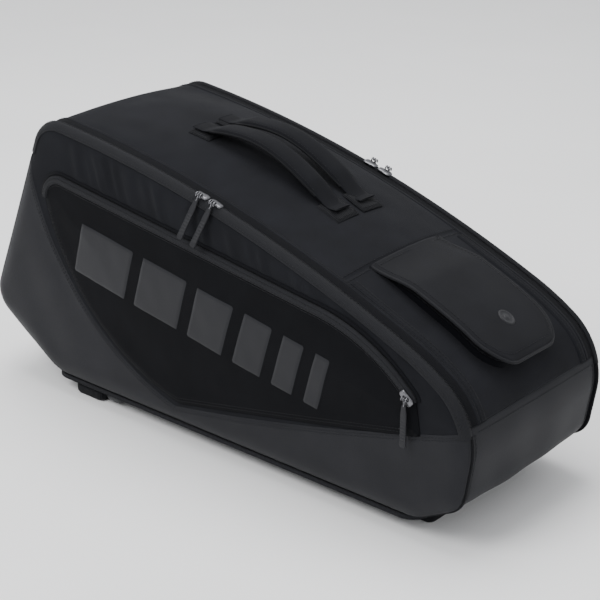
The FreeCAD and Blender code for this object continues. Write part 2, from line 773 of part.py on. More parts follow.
make_drum()
make_band_zips()
for side_name, side_sign in SIDES.items():
    make_side(side_name, side_sign)
    make_main_sliders(side_name, side_sign)
    make_pocket_slider(side_name, side_sign)
make_pod()
make_pod_slider()
make_handles()
make_straps()
doc.recompute()

whole = FreeCAD.BoundBox()
for part in SUB_PARTS:
    whole.add(part.Shape.BoundBox)
to_origin = Vector(-whole.Center.x, -whole.Center.y, -whole.ZMin)
for part in SUB_PARTS:
    part.Placement = Placement(to_origin, Rotation()).multiply(part.Placement)
doc.recompute()

for item in doc.Objects:
    if "Invalid" in item.State or "Error" in item.State:
        raise ValueError(f"{item.Label} did not compute: {item.State}")
os.makedirs("parts", exist_ok=True)
for part in SUB_PARTS:
    if part.Shape.isNull() or not part.Shape.isValid():
        raise ValueError(f"{part.Label} has no valid shape")
    part.Shape.exportStep(os.path.join("parts", f"{part.Label}.step"))
print(f"{len(SUB_PARTS)} sub-parts, shifted by {to_origin}, box {whole}")
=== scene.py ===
"""Looks of the racket bag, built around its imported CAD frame.

Every piece is worked out in bag coordinates, in millimetres: x runs from the rear to the narrow front, y
across the bag (near side negative), z up from the base seam.  mesh() moves them into the frame, in metres.
A far piece is the near one's mirror image, apart from handles, sliders and pullers, made in place.
"""
import math
import bpy
import numpy as np
from mathutils import Matrix, Vector


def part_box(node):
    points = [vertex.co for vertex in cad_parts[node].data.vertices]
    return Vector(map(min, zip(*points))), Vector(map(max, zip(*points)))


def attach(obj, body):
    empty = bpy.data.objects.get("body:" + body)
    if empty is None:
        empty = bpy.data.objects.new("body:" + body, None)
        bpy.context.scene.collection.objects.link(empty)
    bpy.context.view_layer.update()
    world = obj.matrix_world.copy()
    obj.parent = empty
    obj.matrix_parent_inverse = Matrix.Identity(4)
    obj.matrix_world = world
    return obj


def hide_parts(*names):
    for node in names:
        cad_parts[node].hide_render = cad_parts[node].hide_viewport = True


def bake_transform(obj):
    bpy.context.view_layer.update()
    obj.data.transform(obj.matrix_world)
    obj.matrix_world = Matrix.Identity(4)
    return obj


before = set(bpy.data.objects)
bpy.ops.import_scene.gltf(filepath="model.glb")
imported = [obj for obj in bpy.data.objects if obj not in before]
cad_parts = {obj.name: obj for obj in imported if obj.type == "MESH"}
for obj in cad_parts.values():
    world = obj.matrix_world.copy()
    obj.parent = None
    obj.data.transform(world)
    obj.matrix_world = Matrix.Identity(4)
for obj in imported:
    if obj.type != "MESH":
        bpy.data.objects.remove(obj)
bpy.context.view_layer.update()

ORIGIN = np.array([386.731, 0.0, -28.1])
BAND_EXTRA = 4.0
NEAR, FAR = -1, 1
SIDES = {"near": NEAR, "far": FAR}
HANDLE_X, HANDLE_Y = (290.0, 494.0), 23.0


# ---------------------------------------------------------------- the side outline

class Stretch:
    """One straight or round stretch of the bag's side outline, run clockwise."""

    def __init__(self, start, heading, length=0.0, radius=0.0, turn=0.0):
        self.start = np.array(start, float)
        self.heading, self.turn, self.radius = math.radians(heading), math.radians(turn), radius
        self.length = length or radius * self.turn

    def normal(self, share):
        angle = self.heading - self.turn * np.asarray(share, float)
        return np.stack([-np.sin(angle), np.cos(angle)], -1)

    def at(self, share):
        if self.turn:
            first = np.array([-math.sin(self.heading), math.cos(self.heading)])
            return self.start + self.radius * (self.normal(share) - first)
        along = np.array([math.cos(self.heading), math.sin(self.heading)]) * self.length
        return self.start + np.asarray(share, float)[..., None] * along


def unit(v):
    v = np.asarray(v, float)
    return v / np.maximum(np.linalg.norm(v, axis=-1, keepdims=True), 1e-9)


def corner(before, at, after, setback):
    coming, away = unit(at - before), unit(after - at)
    turn = math.degrees(math.acos(float(coming @ away)))
    radius = setback / math.tan(math.radians(turn / 2))
    heading = math.degrees(math.atan2(coming[1], coming[0]))
    return Stretch(at - coming * setback, heading, radius=radius, turn=turn)


def straight(start, end):
    run = end - start
    return Stretch(start, math.degrees(math.atan2(run[1], run[0])), length=float(np.linalg.norm(run)))


ARCH_START, ARCH_HEADING = (142, 343), -6
ARCH_ROUNDS = (("arch", 1829, 17.5), ("shoulder", 330, 10.5), ("brow", 88, 36), ("nose", 88, 28.6))
SETBACK = {"toe": 17, "keel": 14, "heel": 20, "tail": 26, "crest": 35.7}
TOE_HEIGHT, KEEL_POINT, HEEL_POINT, TAIL_POINT = 31, (704, 0), (112, 0), (-6, 76)


def towards(degrees):
    return np.array([math.cos(math.radians(degrees)), math.sin(math.radians(degrees))])


def bag_outline():
    found, at, heading = {}, ARCH_START, ARCH_HEADING
    for name, radius, turn in ARCH_ROUNDS:
        found[name] = Stretch(at, heading, radius=radius, turn=turn)
        at, heading = found[name].at(1), heading - turn
    drop = towards(heading)
    toe_point = at + drop * ((at[1] - TOE_HEIGHT) / -drop[1])
    arch_start = found["arch"].start
    top_point = arch_start - towards(ARCH_HEADING) * SETBACK["crest"]
    chain = [np.array(point, float) for point in
             (at, toe_point, KEEL_POINT, HEEL_POINT, TAIL_POINT, top_point, arch_start)]
    for k, (name, setback) in enumerate(SETBACK.items()):
        found[name] = corner(*chain[k:k + 3], setback)
    for name, before, after in (("front", "nose", "toe"), ("bevel", "toe", "keel"), ("base", "keel", "heel"),
                                ("chamfer", "heel", "tail"), ("back", "tail", "crest")):
        found[name] = straight(found[before].at(1), found[after].at(0))
    return found


OUTLINE = bag_outline()
TOP_NAMES = ["crest", "arch", "shoulder", "brow"]
SEWN_NAMES = ["nose", "front", "toe", "bevel", "keel", "base", "heel", "chamfer", "tail", "back"]


def run(names, pitch):
    """Points and outward normals along neighbouring stretches; a name may carry its own share range."""
    points, normals = [], []
    for entry in names:
        name, low, high = entry if isinstance(entry, tuple) else (entry, 0.0, 1.0)
        stretch = OUTLINE[name]
        count = max(int(math.ceil(stretch.length * (high - low) / pitch)), 2)
        shares = np.linspace(low, high, count + 1)[1 if points else 0:]
        points.append(stretch.at(shares))
        normals.append(stretch.normal(shares))
    return np.concatenate(points), np.concatenate(normals)


RIM, RIM_NORMALS = run(TOP_NAMES + SEWN_NAMES, 2.5)
RIM, RIM_NORMALS = RIM[:-1], RIM_NORMALS[:-1]
TOP_LINE, TOP_NORMALS = run(TOP_NAMES, 2.0)


def lengths(path):
    return np.concatenate([[0], np.cumsum(np.linalg.norm(np.diff(path, axis=0), axis=1))])


def pick(at, marks, table):
    """The table's rows, worked out between its marks at the given places."""
    return np.stack([np.interp(at, marks, column) for column in table.T], -1)


def resample(path, count):
    """The path at even steps."""
    s = lengths(path)
    return pick(np.linspace(0, s[-1], count), s, path)


def smooth(low, high, x):
    t = np.clip((np.asarray(x, float) - low) / (high - low), 0, 1)
    return t * t * (3 - 2 * t)


def nearest(points, line):
    """Distance from each point to the line's samples, and the closest sample's index."""
    flat = points.reshape(-1, 2)
    gap, index = np.empty(len(flat)), np.empty(len(flat), int)
    for start in range(0, len(flat), 4000):
        part = flat[start:start + 4000]
        square = ((part[:, None, :] - line[None]) ** 2).sum(-1)
        index[start:start + 4000] = square.argmin(1)
        gap[start:start + 4000] = np.sqrt(square.min(1))
    return gap.reshape(points.shape[:-1]), index.reshape(points.shape[:-1])


def inside(points, loop):
    flat = points.reshape(-1, 2)
    found = np.zeros(len(flat), bool)
    for (x0, z0), (x1, z1) in zip(loop, np.roll(loop, -1, 0)):
        if z0 != z1:
            crosses = (z0 > flat[:, 1]) != (z1 > flat[:, 1])
            found ^= crosses & (flat[:, 0] < x0 + (flat[:, 1] - z0) / (z1 - z0) * (x1 - x0))
    return found.reshape(points.shape[:-1])


def ripples(x, z, seed, low, high, count=8):
    """Smooth irregular folds: a few sine waves with wavelengths between low and high."""
    rng = np.random.default_rng(seed)
    x, z = np.broadcast_arrays(x, z)
    total = np.zeros(x.shape)
    for _ in range(count):
        wave, angle, phase = rng.uniform(low, high), rng.uniform(0, math.pi), rng.uniform(0, 2 * math.pi)
        total += np.sin(2 * math.pi * (x * math.cos(angle) + z * math.sin(angle)) / wave + phase)
    return total / math.sqrt(count)


def gathers(x, seed, low, high, count=7):
    rng = np.random.default_rng(seed)
    total = np.zeros(np.shape(x))
    for _ in range(count):
        total += np.sin(2 * math.pi * x / rng.uniform(low, high) + rng.uniform(0, 2 * math.pi))
    return total / math.sqrt(count)


# ---------------------------------------------------------------- meshes

def quads(rows, cols, wrap_rows=False, wrap_cols=False, first=0):
    r = np.arange(rows if wrap_rows else rows - 1)[:, None]
    c = np.arange(cols if wrap_cols else cols - 1)[None]
    r1, c1 = (r + 1) % rows, (c + 1) % cols
    corners = [r * cols + c, r * cols + c1, r1 * cols + c1, r1 * cols + c]
    return (np.stack(corners, -1).reshape(-1, 4) + first).tolist()


def flipped(faces):
    return [face[::-1] for face in faces]


def end_caps(rows, cols):
    return [list(range(cols)), [(rows - 1) * cols + c for c in range(cols - 1, -1, -1)]]


def joined(parts):
    """Several (points, faces) parts as one."""
    points, faces, count = [], [], 0
    for spots, made in parts:
        faces += [[v + count for v in face] for face in made]
        points.append(spots)
        count += len(spots)
    return np.concatenate(points), faces


def facing(direction, path):
    """One outward direction for every point of a path."""
    return np.broadcast_to(np.array(direction, float), np.shape(path))


def level(loop, z):
    """A plan loop's points in space, all at one height."""
    return np.concatenate([loop, np.full((len(loop), 1), z)], 1)


def loop_out(loop):
    """The outward directions of a closed loop in plan."""
    tangent = unit(np.roll(loop, -1, 0) - np.roll(loop, 1, 0))
    return np.stack([tangent[:, 1], -tangent[:, 0], np.zeros(len(loop))], -1)


def strip_uv(path, profile):
    """Cloth coordinates of a profile carried along a path, in millimetres."""
    across = lengths(np.asarray(profile, float))
    return np.stack(np.broadcast_arrays(lengths(path)[:, None], across[None]), -1)


def metres(points):
    """Bag coordinates to the frame; what lies outside the pod moves outwards, which widens the band."""
    points = np.array(points, float).reshape(-1, 3)
    points[:, 1] += np.sign(points[:, 1]) * BAND_EXTRA * smooth(76, 98, np.abs(points[:, 1]))
    return (points - ORIGIN) / 1000


def mesh(name, points, faces, material, body, uv=None, side=NEAR, node=None):
    """A piece in the frame.  A far piece is the near one's mirror image."""
    points = np.asarray(points, float).reshape(-1, 3)
    if side == FAR:
        points = points * (1, -1, 1)
        faces = flipped(faces)
    data = bpy.data.meshes.new(name)
    data.from_pydata(metres(points).tolist(), [], faces)
    data.validate()
    if uv is None:
        uv = points[:, [0, 1]] + points[:, [2, 2]] * (0.31, 0.73)
    uv = np.asarray(uv, float).reshape(-1, 2)
    layer = data.uv_layers.new(name="cloth")
    index = np.empty(len(data.loops), int)
    data.loops.foreach_get("vertex_index", index)
    layer.data.foreach_set("uv", uv[index].ravel())
    data.polygons.foreach_set("use_smooth", np.ones(len(data.polygons), bool))
    data.materials.append(material)
    piece = bpy.data.objects.new(name, data)
    bpy.context.scene.collection.objects.link(piece)
    if body:
        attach(piece, body)
    if node:
        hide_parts(*([node] if isinstance(node, str) else node))
    return piece


def grid_normals(points):
    across = np.gradient(points, axis=0)
    along = np.gradient(points, axis=1)
    return unit(np.cross(across, along))


def grid_uv(points):
    """Cloth coordinates of a grid: distance along its rows and columns, in millimetres."""
    along = np.linalg.norm(np.diff(points, axis=0), axis=-1).mean(1)
    across = np.linalg.norm(np.diff(points, axis=1), axis=-1).mean(0)
    v = np.concatenate([[0], np.cumsum(along)])
    u = np.concatenate([[0], np.cumsum(across)])
    return np.stack(np.broadcast_arrays(u[None], v[:, None]), -1)


def border(grid):
    """The (row, column) places round a grid's edge."""
    rows, cols = grid.shape[:2]
    edge = [(0, c) for c in range(cols)] + [(r, cols - 1) for r in range(1, rows)]
    return edge + [(rows - 1, c) for c in range(cols - 2, -1, -1)] + [(r, 0) for r in range(rows - 2, 0, -1)]


def slab(outer, inner):
    """A closed sheet between two grids of one size: both faces and the rim between them."""
    rows, cols = outer.shape[:2]
    points = np.concatenate([outer.reshape(-1, 3), inner.reshape(-1, 3)])
    faces = quads(rows, cols) + flipped(quads(rows, cols, first=rows * cols))
    loop = [r * cols + c for r, c in border(outer)]
    for a, b in zip(loop, loop[1:] + loop[:1]):
        faces.append([b, a, a + rows * cols, b + rows * cols])
    uv = grid_uv(outer).reshape(-1, 2)
    return points, faces, np.concatenate([uv, uv])


def sweep(path, out, profile, closed=False):
    """A profile of (sideways, outwards) points carried along a path whose outward directions are given."""
    path, out = np.asarray(path, float), np.asarray(out, float)
    if closed:
        tangent = unit(np.roll(path, -1, 0) - np.roll(path, 1, 0))
    else:
        tangent = unit(np.gradient(path, axis=0))
    out = unit(out - tangent * (out * tangent).sum(-1, keepdims=True))
    sideways = np.cross(tangent, out)
    profile = np.asarray(profile, float)
    if profile.ndim == 2:
        profile = np.broadcast_to(profile, (len(path),) + profile.shape)
    points = (path[:, None] + profile[..., :1] * sideways[:, None] + profile[..., 1:] * out[:, None])
    rows, cols = points.shape[:2]
    faces = quads(rows, cols, wrap_rows=closed, wrap_cols=True)
    if not closed:
        faces += end_caps(rows, cols)
    return points, faces, strip_uv(path, profile[0])


def circle(radius, count=10):
    angle = np.linspace(0, 2 * math.pi, count, endpoint=False)
    return np.stack([np.cos(angle) * radius, np.sin(angle) * radius], -1)


def rounded(width, height, radius, count=3, centre=(0.0, 0.0)):
    """A rectangle with rounded corners as a profile, counterclockwise."""
    spots = []
    for sx, sy, first in ((1, -1, -90), (1, 1, 0), (-1, 1, 90), (-1, -1, 180)):
        for step in range(count + 1):
            angle = math.radians(first + 90 * step / count)
            spots.append((centre[0] + sx * (width / 2 - radius) + radius * math.cos(angle),
                          centre[1] + sy * (height / 2 - radius) + radius * math.sin(angle)))
    return np.array(spots)


STITCH_PITCH, STITCH_LENGTH, STITCH_WIDTH, STITCH_HEIGHT = 4.6, 3.3, 0.85, 0.42


def stitch_parts(path, out):
    """Raised thread stitches along a path, each a small loaf that dips into the cloth at both ends."""
    s = lengths(path)
    count = int(s[-1] / STITCH_PITCH)
    if count < 1:
        return np.zeros((0, 3)), []
    middle = (np.arange(count) + 0.5) * s[-1] / count
    along_shares = np.array([-0.5, -0.32, 0.0, 0.32, 0.5])
    thick = np.array([0.25, 0.85, 1.0, 0.85, 0.25])[None, :, None, None]
    rise = np.array([-0.5, 0.45, 0.8, 0.45, -0.5])[None, :, None, None]
    ring = np.array([[-0.5, -0.2], [-0.3, 0.6], [0.3, 0.6], [0.5, -0.2]])[None, None]
    stations = middle[:, None] + along_shares * STITCH_LENGTH
    place, outward = pick(stations, s, path), unit(pick(stations, s, out))
    heading = unit(place[:, -1] - place[:, 0])[:, None]
    sideways = np.cross(heading, outward)
    spots = (place[:, :, None] + sideways[:, :, None] * (ring[..., :1] * STITCH_WIDTH * thick)
             + outward[:, :, None] * (STITCH_HEIGHT * (rise + ring[..., 1:] * thick)))
    faces = []
    for base in range(0, count * 20, 20):
        faces += quads(5, 4, wrap_cols=True, first=base)
        faces.append([base, base + 1, base + 2, base + 3])
        faces.append([base + 19, base + 18, base + 17, base + 16])
    return spots.reshape(-1, 3), faces


def stitching(name, rows, material, body, side=NEAR):
    """One piece of thread for several stitch rows, each a (path, outward directions) pair."""
    points, faces = joined([stitch_parts(path, facing(out, path)) for path, out in rows])
    return mesh(name, points, faces, material, body, side=side)


# ---------------------------------------------------------------- materials

class Paint:
    """A node material; each call adds a node and returns its first output, or the named one."""

    def __init__(self, name):
        self.material = bpy.data.materials.new(name)
        self.material.use_nodes = True
        self.tree = self.material.node_tree
        self.shader = self.tree.nodes["Principled BSDF"]

    def link(self, source, target):
        if isinstance(source, (int, float, tuple, list)):
            target.default_value = source
        else:
            self.tree.links.new(source, target)

    def node(self, kind, inputs=(), output=0, **settings):
        made = self.tree.nodes.new("ShaderNode" + kind)
        for key, value in settings.items():
            setattr(made, key, value)
        for key, value in dict(inputs).items():
            self.link(value, made.inputs[key])
        return made.outputs[output]

    def math(self, operation, a, b=0.0):
        return self.node("Math", {0: a, 1: b}, operation=operation)

    def coordinates(self, kind):
        if kind == "cloth":
            return self.node("UVMap", uv_map="cloth")
        return self.node("VectorMath", {0: self.node("TexCoord", output=3), 1: (1000, 1000, 1000)},
                         operation="MULTIPLY")

    def noise(self, where, scale, detail=3.0, rough=0.55):
        return self.node("TexNoise", {"Vector": where, "Scale": scale, "Detail": detail, "Roughness": rough})

    def spread(self, value, low, high, to_low, to_high):
        return self.node("MapRange", {"Value": value, "From Min": low, "From Max": high, "To Min": to_low,
                                      "To Max": to_high})

    def shade(self, colour, amount):
        """The colour multiplied by an amount around 1 that varies over the surface."""
        return self.node("VectorMath", {0: tuple(colour), 1: amount}, operation="MULTIPLY")

    def finish(self, colour, roughness, height=None, distance=0.0004, strength=0.6, **fixed):
        self.link(colour, self.shader.inputs["Base Color"])
        self.link(roughness, self.shader.inputs["Roughness"])
        if height is not None:
            bump = self.node("Bump", {"Height": height, "Distance": distance, "Strength": strength})
            self.link(bump, self.shader.inputs["Normal"])
        for key, value in fixed.items():
            self.shader.inputs[key.replace("_", " ")].default_value = value
        return self.material


def woven(name, colour, period=1.7, twill=False, patch=0.16, rough=0.82, depth=0.35, sheen=0.12, worn=0.25,
          specular=0.35):
    """Woven nylon or polyester: over-and-under threads, slubs, faint cloudiness and pale rubbed places."""
    paint = Paint(name)
    where = paint.coordinates("cloth")
    parts = paint.tree.nodes.new("ShaderNodeSeparateXYZ")
    paint.link(where, parts.inputs[0])
    u, v = parts.outputs[0], parts.outputs[1]
    if twill:
        u, v = paint.math("ADD", u, v), paint.math("SUBTRACT", u, v)
    turn = 2 * math.pi / period
    warp = paint.math("SINE", paint.math("MULTIPLY", u, turn))
    weft = paint.math("SINE", paint.math("MULTIPLY", v, turn))
    weave = paint.math("MULTIPLY", warp, weft)
    slub = paint.noise(where, 0.9, 2.0)
    height = paint.math("ADD", paint.math("MULTIPLY", weave, 0.5), paint.math("MULTIPLY", slub, 0.9))
    cloud = paint.spread(paint.noise(where, 0.02, 4.0), 0.3, 0.7, 1 - patch, 1 + patch)
    thread = paint.spread(weave, -1.0, 1.0, 0.8, 1.2)
    rub = paint.spread(paint.noise(where, 0.045, 6.0, 0.7), 0.58, 0.8, 1.0, 1.0 + worn)
    amount = paint.math("MULTIPLY", paint.math("MULTIPLY", cloud, thread), rub)
    roughness = paint.spread(slub, 0.3, 0.7, rough - 0.06, min(rough + 0.08, 1.0))
    return paint.finish(paint.shade(colour, amount), roughness, height, 0.0005, depth, Sheen_Weight=sheen,
                        Sheen_Roughness=0.5, Specular_IOR_Level=specular)


def coated(name, colour, rough=0.55, patch=0.12, depth=0.4, scale=0.75, specular=0.4):
    """Coated tarpaulin: a fine pebbled grain over a weave, with soft scuffs."""
    paint = Paint(name)
    where = paint.coordinates("cloth")
    cells = paint.node("TexVoronoi", {"Vector": where, "Scale": scale}, feature="SMOOTH_F1")
    grain = paint.noise(where, 1.6, 3.0)
    height = paint.math("ADD", cells, paint.math("MULTIPLY", grain, 0.6))
    cloud = paint.spread(paint.noise(where, 0.016, 4.0), 0.3, 0.7, 1 - patch, 1 + patch)
    fleck = paint.spread(grain, 0.3, 0.7, 0.9, 1.1)
    scuff = paint.spread(paint.noise(where, 0.06, 8.0, 0.75), 0.62, 0.85, 1.0, 1.35)
    amount = paint.math("MULTIPLY", paint.math("MULTIPLY", cloud, fleck), scuff)
    roughness = paint.spread(grain, 0.3, 0.7, rough - 0.07, rough + 0.1)
    return paint.finish(paint.shade(colour, amount), roughness, height, 0.0004, depth,
                        Specular_IOR_Level=specular, Sheen_Weight=0.015)


def ribbed(name, colour, period=2.2, rough=0.7, depth=0.6, along=True, specular=0.35):
    """Tape or webbing: ribs across its run, with a fine cross thread."""
    paint = Paint(name)
    where = paint.coordinates("cloth")
    parts = paint.tree.nodes.new("ShaderNodeSeparateXYZ")
    paint.link(where, parts.inputs[0])
    u, v = (parts.outputs[0], parts.outputs[1]) if along else (parts.outputs[1], parts.outputs[0])
    rib = paint.math("SINE", paint.math("MULTIPLY", u, 2 * math.pi / period))
    cross = paint.math("SINE", paint.math("MULTIPLY", v, 2 * math.pi / (period * 0.7)))
    height = paint.math("ADD", paint.math("MULTIPLY", rib, 0.6), paint.math("MULTIPLY", cross, 0.25))
    noise = paint.noise(where, 0.5, 3.0)
    amount = paint.math("MULTIPLY", paint.spread(rib, -1, 1, 0.82, 1.15),
                        paint.spread(noise, 0.3, 0.7, 0.88, 1.14))
    return paint.finish(paint.shade(colour, amount),
                        paint.spread(noise, 0.3, 0.7, rough - 0.06, rough + 0.08), height, 0.0005, depth,
                        Specular_IOR_Level=specular, Sheen_Weight=0.02)


def moulded(name, colour, rough=0.45, where="cloth", depth=0.25, specular=0.5):
    """Moulded rubber or plastic: a fine spark-eroded grain with rubbed, slightly paler high spots."""
    paint = Paint(name)
    place = paint.coordinates(where)
    grain = paint.noise(place, 2.5, 4.0)
    rub = paint.noise(place, 0.12, 5.0, 0.7)
    amount = paint.math("MULTIPLY", paint.spread(grain, 0.3, 0.7, 0.93, 1.07),
                        paint.spread(rub, 0.5, 0.8, 1.0, 1.3))
    return paint.finish(paint.shade(colour, amount), paint.spread(rub, 0.3, 0.7, rough - 0.08, rough + 0.12),
                        grain, 0.0002, depth, Specular_IOR_Level=specular)


def metal(name, colour=(0.16, 0.16, 0.17), rough=0.3):
    """Dark plated zinc, with faint tumbling marks and dull handled patches."""
    paint = Paint(name)
    place = paint.coordinates("object")
    marks = paint.noise(place, 1.8, 5.0, 0.7)
    dull = paint.noise(place, 0.25, 3.0)
    amount = paint.spread(dull, 0.3, 0.7, 0.86, 1.08)
    return paint.finish(paint.shade(colour, amount),
                        paint.spread(marks, 0.3, 0.7, rough - 0.08, rough + 0.16), marks, 0.00008, 0.3,
                        Metallic=1.0)


MAT = {
    "side": woven("side_weave", (0.0088, 0.0092, 0.0112), 1.9, rough=0.86, sheen=0.015, specular=0.08),
    "top": woven("top_weave", (0.0095, 0.0099, 0.0122), 1.6, twill=True, rough=0.84, sheen=0.02,
                 specular=0.08),
    "pod": woven("pod_weave", (0.0072, 0.0075, 0.0094), 1.5, rough=0.74, sheen=0.02, specular=0.12),
    "pocket": woven("pocket_weave", (0.0030, 0.0032, 0.0042), 1.5, rough=0.80, sheen=0.01, specular=0.08),
    "gusset": woven("gusset_weave", (0.0028, 0.0030, 0.0040), 1.6, rough=0.88, sheen=0.01, specular=0.05),
    "coated": coated("coated_grey", (0.0128, 0.0132, 0.0156), specular=0.12),
    "base": coated("base_coating", (0.0150, 0.0155, 0.0180), rough=0.62, specular=0.12),
    "lip": ribbed("zip_lip_tape", (0.0110, 0.0114, 0.0135), 1.6, rough=0.62, along=False, specular=0.12),
    "tape": ribbed("zip_tape", (0.0040, 0.0042, 0.0056), 1.4, rough=0.8, specular=0.08),
    "coil": moulded("zip_coil", (0.0060, 0.0062, 0.0080), 0.38, specular=0.16),
    "piping": ribbed("piping_cloth", (0.0040, 0.0042, 0.0054), 1.8, rough=0.7, specular=0.12),
    "binding": ribbed("binding_tape", (0.0120, 0.0124, 0.0148), 1.8, rough=0.66, specular=0.12),
    "print": coated("raised_print", (0.0135, 0.0139, 0.0162), rough=0.46, depth=0.15, scale=0.5, patch=0.06,
                    specular=0.16),
    "thread": ribbed("sewing_thread", (0.0110, 0.0114, 0.0135), 0.7, rough=0.6, specular=0.16),
    "webbing": ribbed("nylon_webbing", (0.0055, 0.0058, 0.0073), 2.4, rough=0.68, depth=0.8, specular=0.12),
    "padding": woven("handle_weave", (0.0060, 0.0063, 0.0080), 1.4, rough=0.78, sheen=0.02, specular=0.08),
    "airmesh": woven("strap_mesh", (0.013, 0.0135, 0.016), 3.0, rough=0.9, depth=0.9, sheen=0.06),
    "lining": woven("lining_weave", (0.075, 0.077, 0.083), 1.2, rough=0.7, sheen=0.15),
    "rubber": moulded("puller_rubber", (0.0105, 0.0108, 0.0130), 0.5, specular=0.25),
    "plastic": moulded("buckle_plastic", (0.014, 0.0145, 0.017), 0.38),
    "board": moulded("board_plastic", (0.03, 0.03, 0.034), 0.6, where="object"),
    "badge": moulded("badge_print", (0.012, 0.0123, 0.0145), 0.4, specular=0.3),
    "metal": metal("slider_metal"),
}


# ---------------------------------------------------------------- heights of the cloth

def circle_through(a, b, c):
    a, b, c = (np.array(p, float) for p in (a, b, c))
    m = np.array([b - a, c - a]) * 2
    centre = np.linalg.solve(m, np.array([b @ b - a @ a, c @ c - a @ a]))
    return centre, float(np.linalg.norm(a - centre))


def arc(a, b, c, count=60):
    """Points along the circle from a through b to c."""
    centre, radius = circle_through(a, b, c)
    angles = [math.atan2(*(np.array(p) - centre)[::-1]) for p in (a, b, c)]
    step = (angles[2] - angles[0]) % (2 * math.pi)
    if (angles[1] - angles[0]) % (2 * math.pi) > step:
        step -= 2 * math.pi
    sweep_angles = angles[0] + np.linspace(0, 1, count) * step
    return centre + radius * np.stack([np.cos(sweep_angles), np.sin(sweep_angles)], -1)


POCKET_REAR, POCKET_FRONT = (114, 246), (712, 106)
POCKET_BEND = ((560, 219), (640, 196), (704, 150))
POCKET_TOP = np.concatenate([
    arc(POCKET_REAR, (123, 268), (150, 277), 16)[:-1], np.linspace((150, 277), POCKET_BEND[0], 90)[:-1],
    arc(*POCKET_BEND, 40)[:-1], np.linspace(POCKET_BEND[2], POCKET_FRONT, 12)])
POCKET_LOW = np.concatenate([
    arc(POCKET_REAR, (167, 138), (346, 28), 80)[:-1], arc((346, 28), (540, 68), POCKET_FRONT, 80)])
POCKET_LOOP = np.concatenate([POCKET_TOP, POCKET_LOW[::-1][1:-1]])
POCKET_SAMPLES = resample(np.concatenate([POCKET_LOOP, POCKET_LOOP[:1]]), 700)[:-1]

SHELL_RIM_Y, SHELL_RISE = 126.0, 8.0


def shell_y(points):
    """Distance of a side shell's outer face from the bag's middle plane."""
    gap, _ = nearest(points, RIM)
    t = np.clip((gap - 0.5) / 25.5, 0, 1)
    y = SHELL_RIM_Y + SHELL_RISE * (1 - (1 - t) ** 2.5)
    x, z = points[..., 0], points[..., 1]
    pocket_gap, _ = nearest(points, POCKET_SAMPLES)
    covered = inside(points, POCKET_LOOP)
    free = np.where(covered, 0.0, smooth(2, 14, pocket_gap)) * smooth(6, 22, gap)
    above = z > 277 - (x - 150) * 0.142
    pulled = gathers(x + 0.18 * z, 5, 21, 58) * 1.15 + gathers(x * 0.9 + 0.3 * z, 8, 11, 24) * 0.35
    y = y + np.where(above, free * smooth(150, 190, x) * (1 - smooth(610, 690, x)) * pulled, 0)
    return y + free * ripples(x, z, 11, 60, 190) * 0.5


def pocket_y(points):
    """The side pocket's panel: it rises from its sewn edge and is slightly slack in the middle."""
    gap, _ = nearest(points, POCKET_SAMPLES)
    x, z = points[..., 0], points[..., 1]
    t = np.clip(gap / 15, 0, 1)
    rise = 134.9 + 4.3 * (1 - (1 - t) ** 2.2)
    belly = smooth(18, 75, gap) * 2.2
    loose = smooth(8, 30, gap) * (ripples(x, z, 21, 55, 170) * 0.55 + ripples(x, z, 22, 22, 48) * 0.12)
    return rise + belly + loose


def fullness(share_name, share):
    if share_name == "crest":
        return 0.3 * share
    if share_name == "arch":
        full = 0.3 + 0.7 * np.sin(np.minimum(share / 0.36, 1) * math.pi / 2)
        fall = np.maximum(share - 0.5, 0) / 0.5
        return full - (full - 0.1) * fall * fall * (3 - 2 * fall)
    if share_name == "shoulder":
        return 0.1 - 0.07 * share
    return 0.03 * (1 - share)


def crown_table():
    x, foot, up, crown = [], [], [], []
    for name in TOP_NAMES:
        shares = np.linspace(0, 1, max(int(OUTLINE[name].length / 4), 10))[1 if x else 0:]
        at, normal = OUTLINE[name].at(shares), OUTLINE[name].normal(shares)
        x.extend(at[:, 0])
        foot.extend(at)
        up.extend(normal)
        crown.extend(22.0 * fullness(name, shares))
    return np.array(x), np.array(foot), np.array(up), np.array(crown)


CROWN_X, CROWN_FOOT, CROWN_UP, CROWN = crown_table()
TOP_HALF = 106.7


def crown_at(x, y):
    """How far the top's cloth stands above the outline."""
    return np.interp(x, CROWN_X, CROWN) * (1 - np.clip(np.abs(y) / TOP_HALF, 0, 1) ** 2)


def above(x, y, height):
    """Points at outline position x, a distance y across and a height above the outline."""
    x, y, height = (np.asarray(values, float) for values in np.broadcast_arrays(x, y, height))
    spot = pick(x, CROWN_X, CROWN_FOOT) + unit(pick(x, CROWN_X, CROWN_UP)) * height[..., None]
    return np.stack([spot[..., 0], y, spot[..., 1]], -1)


def on_top(x, y, lift=0.0):
    """Points a lift above the crowned top's cloth."""
    return above(x, y, crown_at(x, y) + lift)


def up_at(x):
    up = unit(pick(x, CROWN_X, CROWN_UP))
    return np.stack([up[..., 0], np.zeros(np.shape(x)), up[..., 1]], -1)


def flat_to_side(points, distance):
    """Side-view points at a distance from the middle plane, on the near side."""
    return np.stack([points[..., 0], -np.broadcast_to(distance, points.shape[:-1]), points[..., 1]], -1)


def rim_frame(names, pitch):
    """A path along the outline at the middle plane, with its outward directions, in space."""
    points, normals = run(names, pitch)
    return (np.stack([points[:, 0], np.zeros(len(points)), points[:, 1]], -1),
            np.stack([normals[:, 0], np.zeros(len(points)), normals[:, 1]], -1))


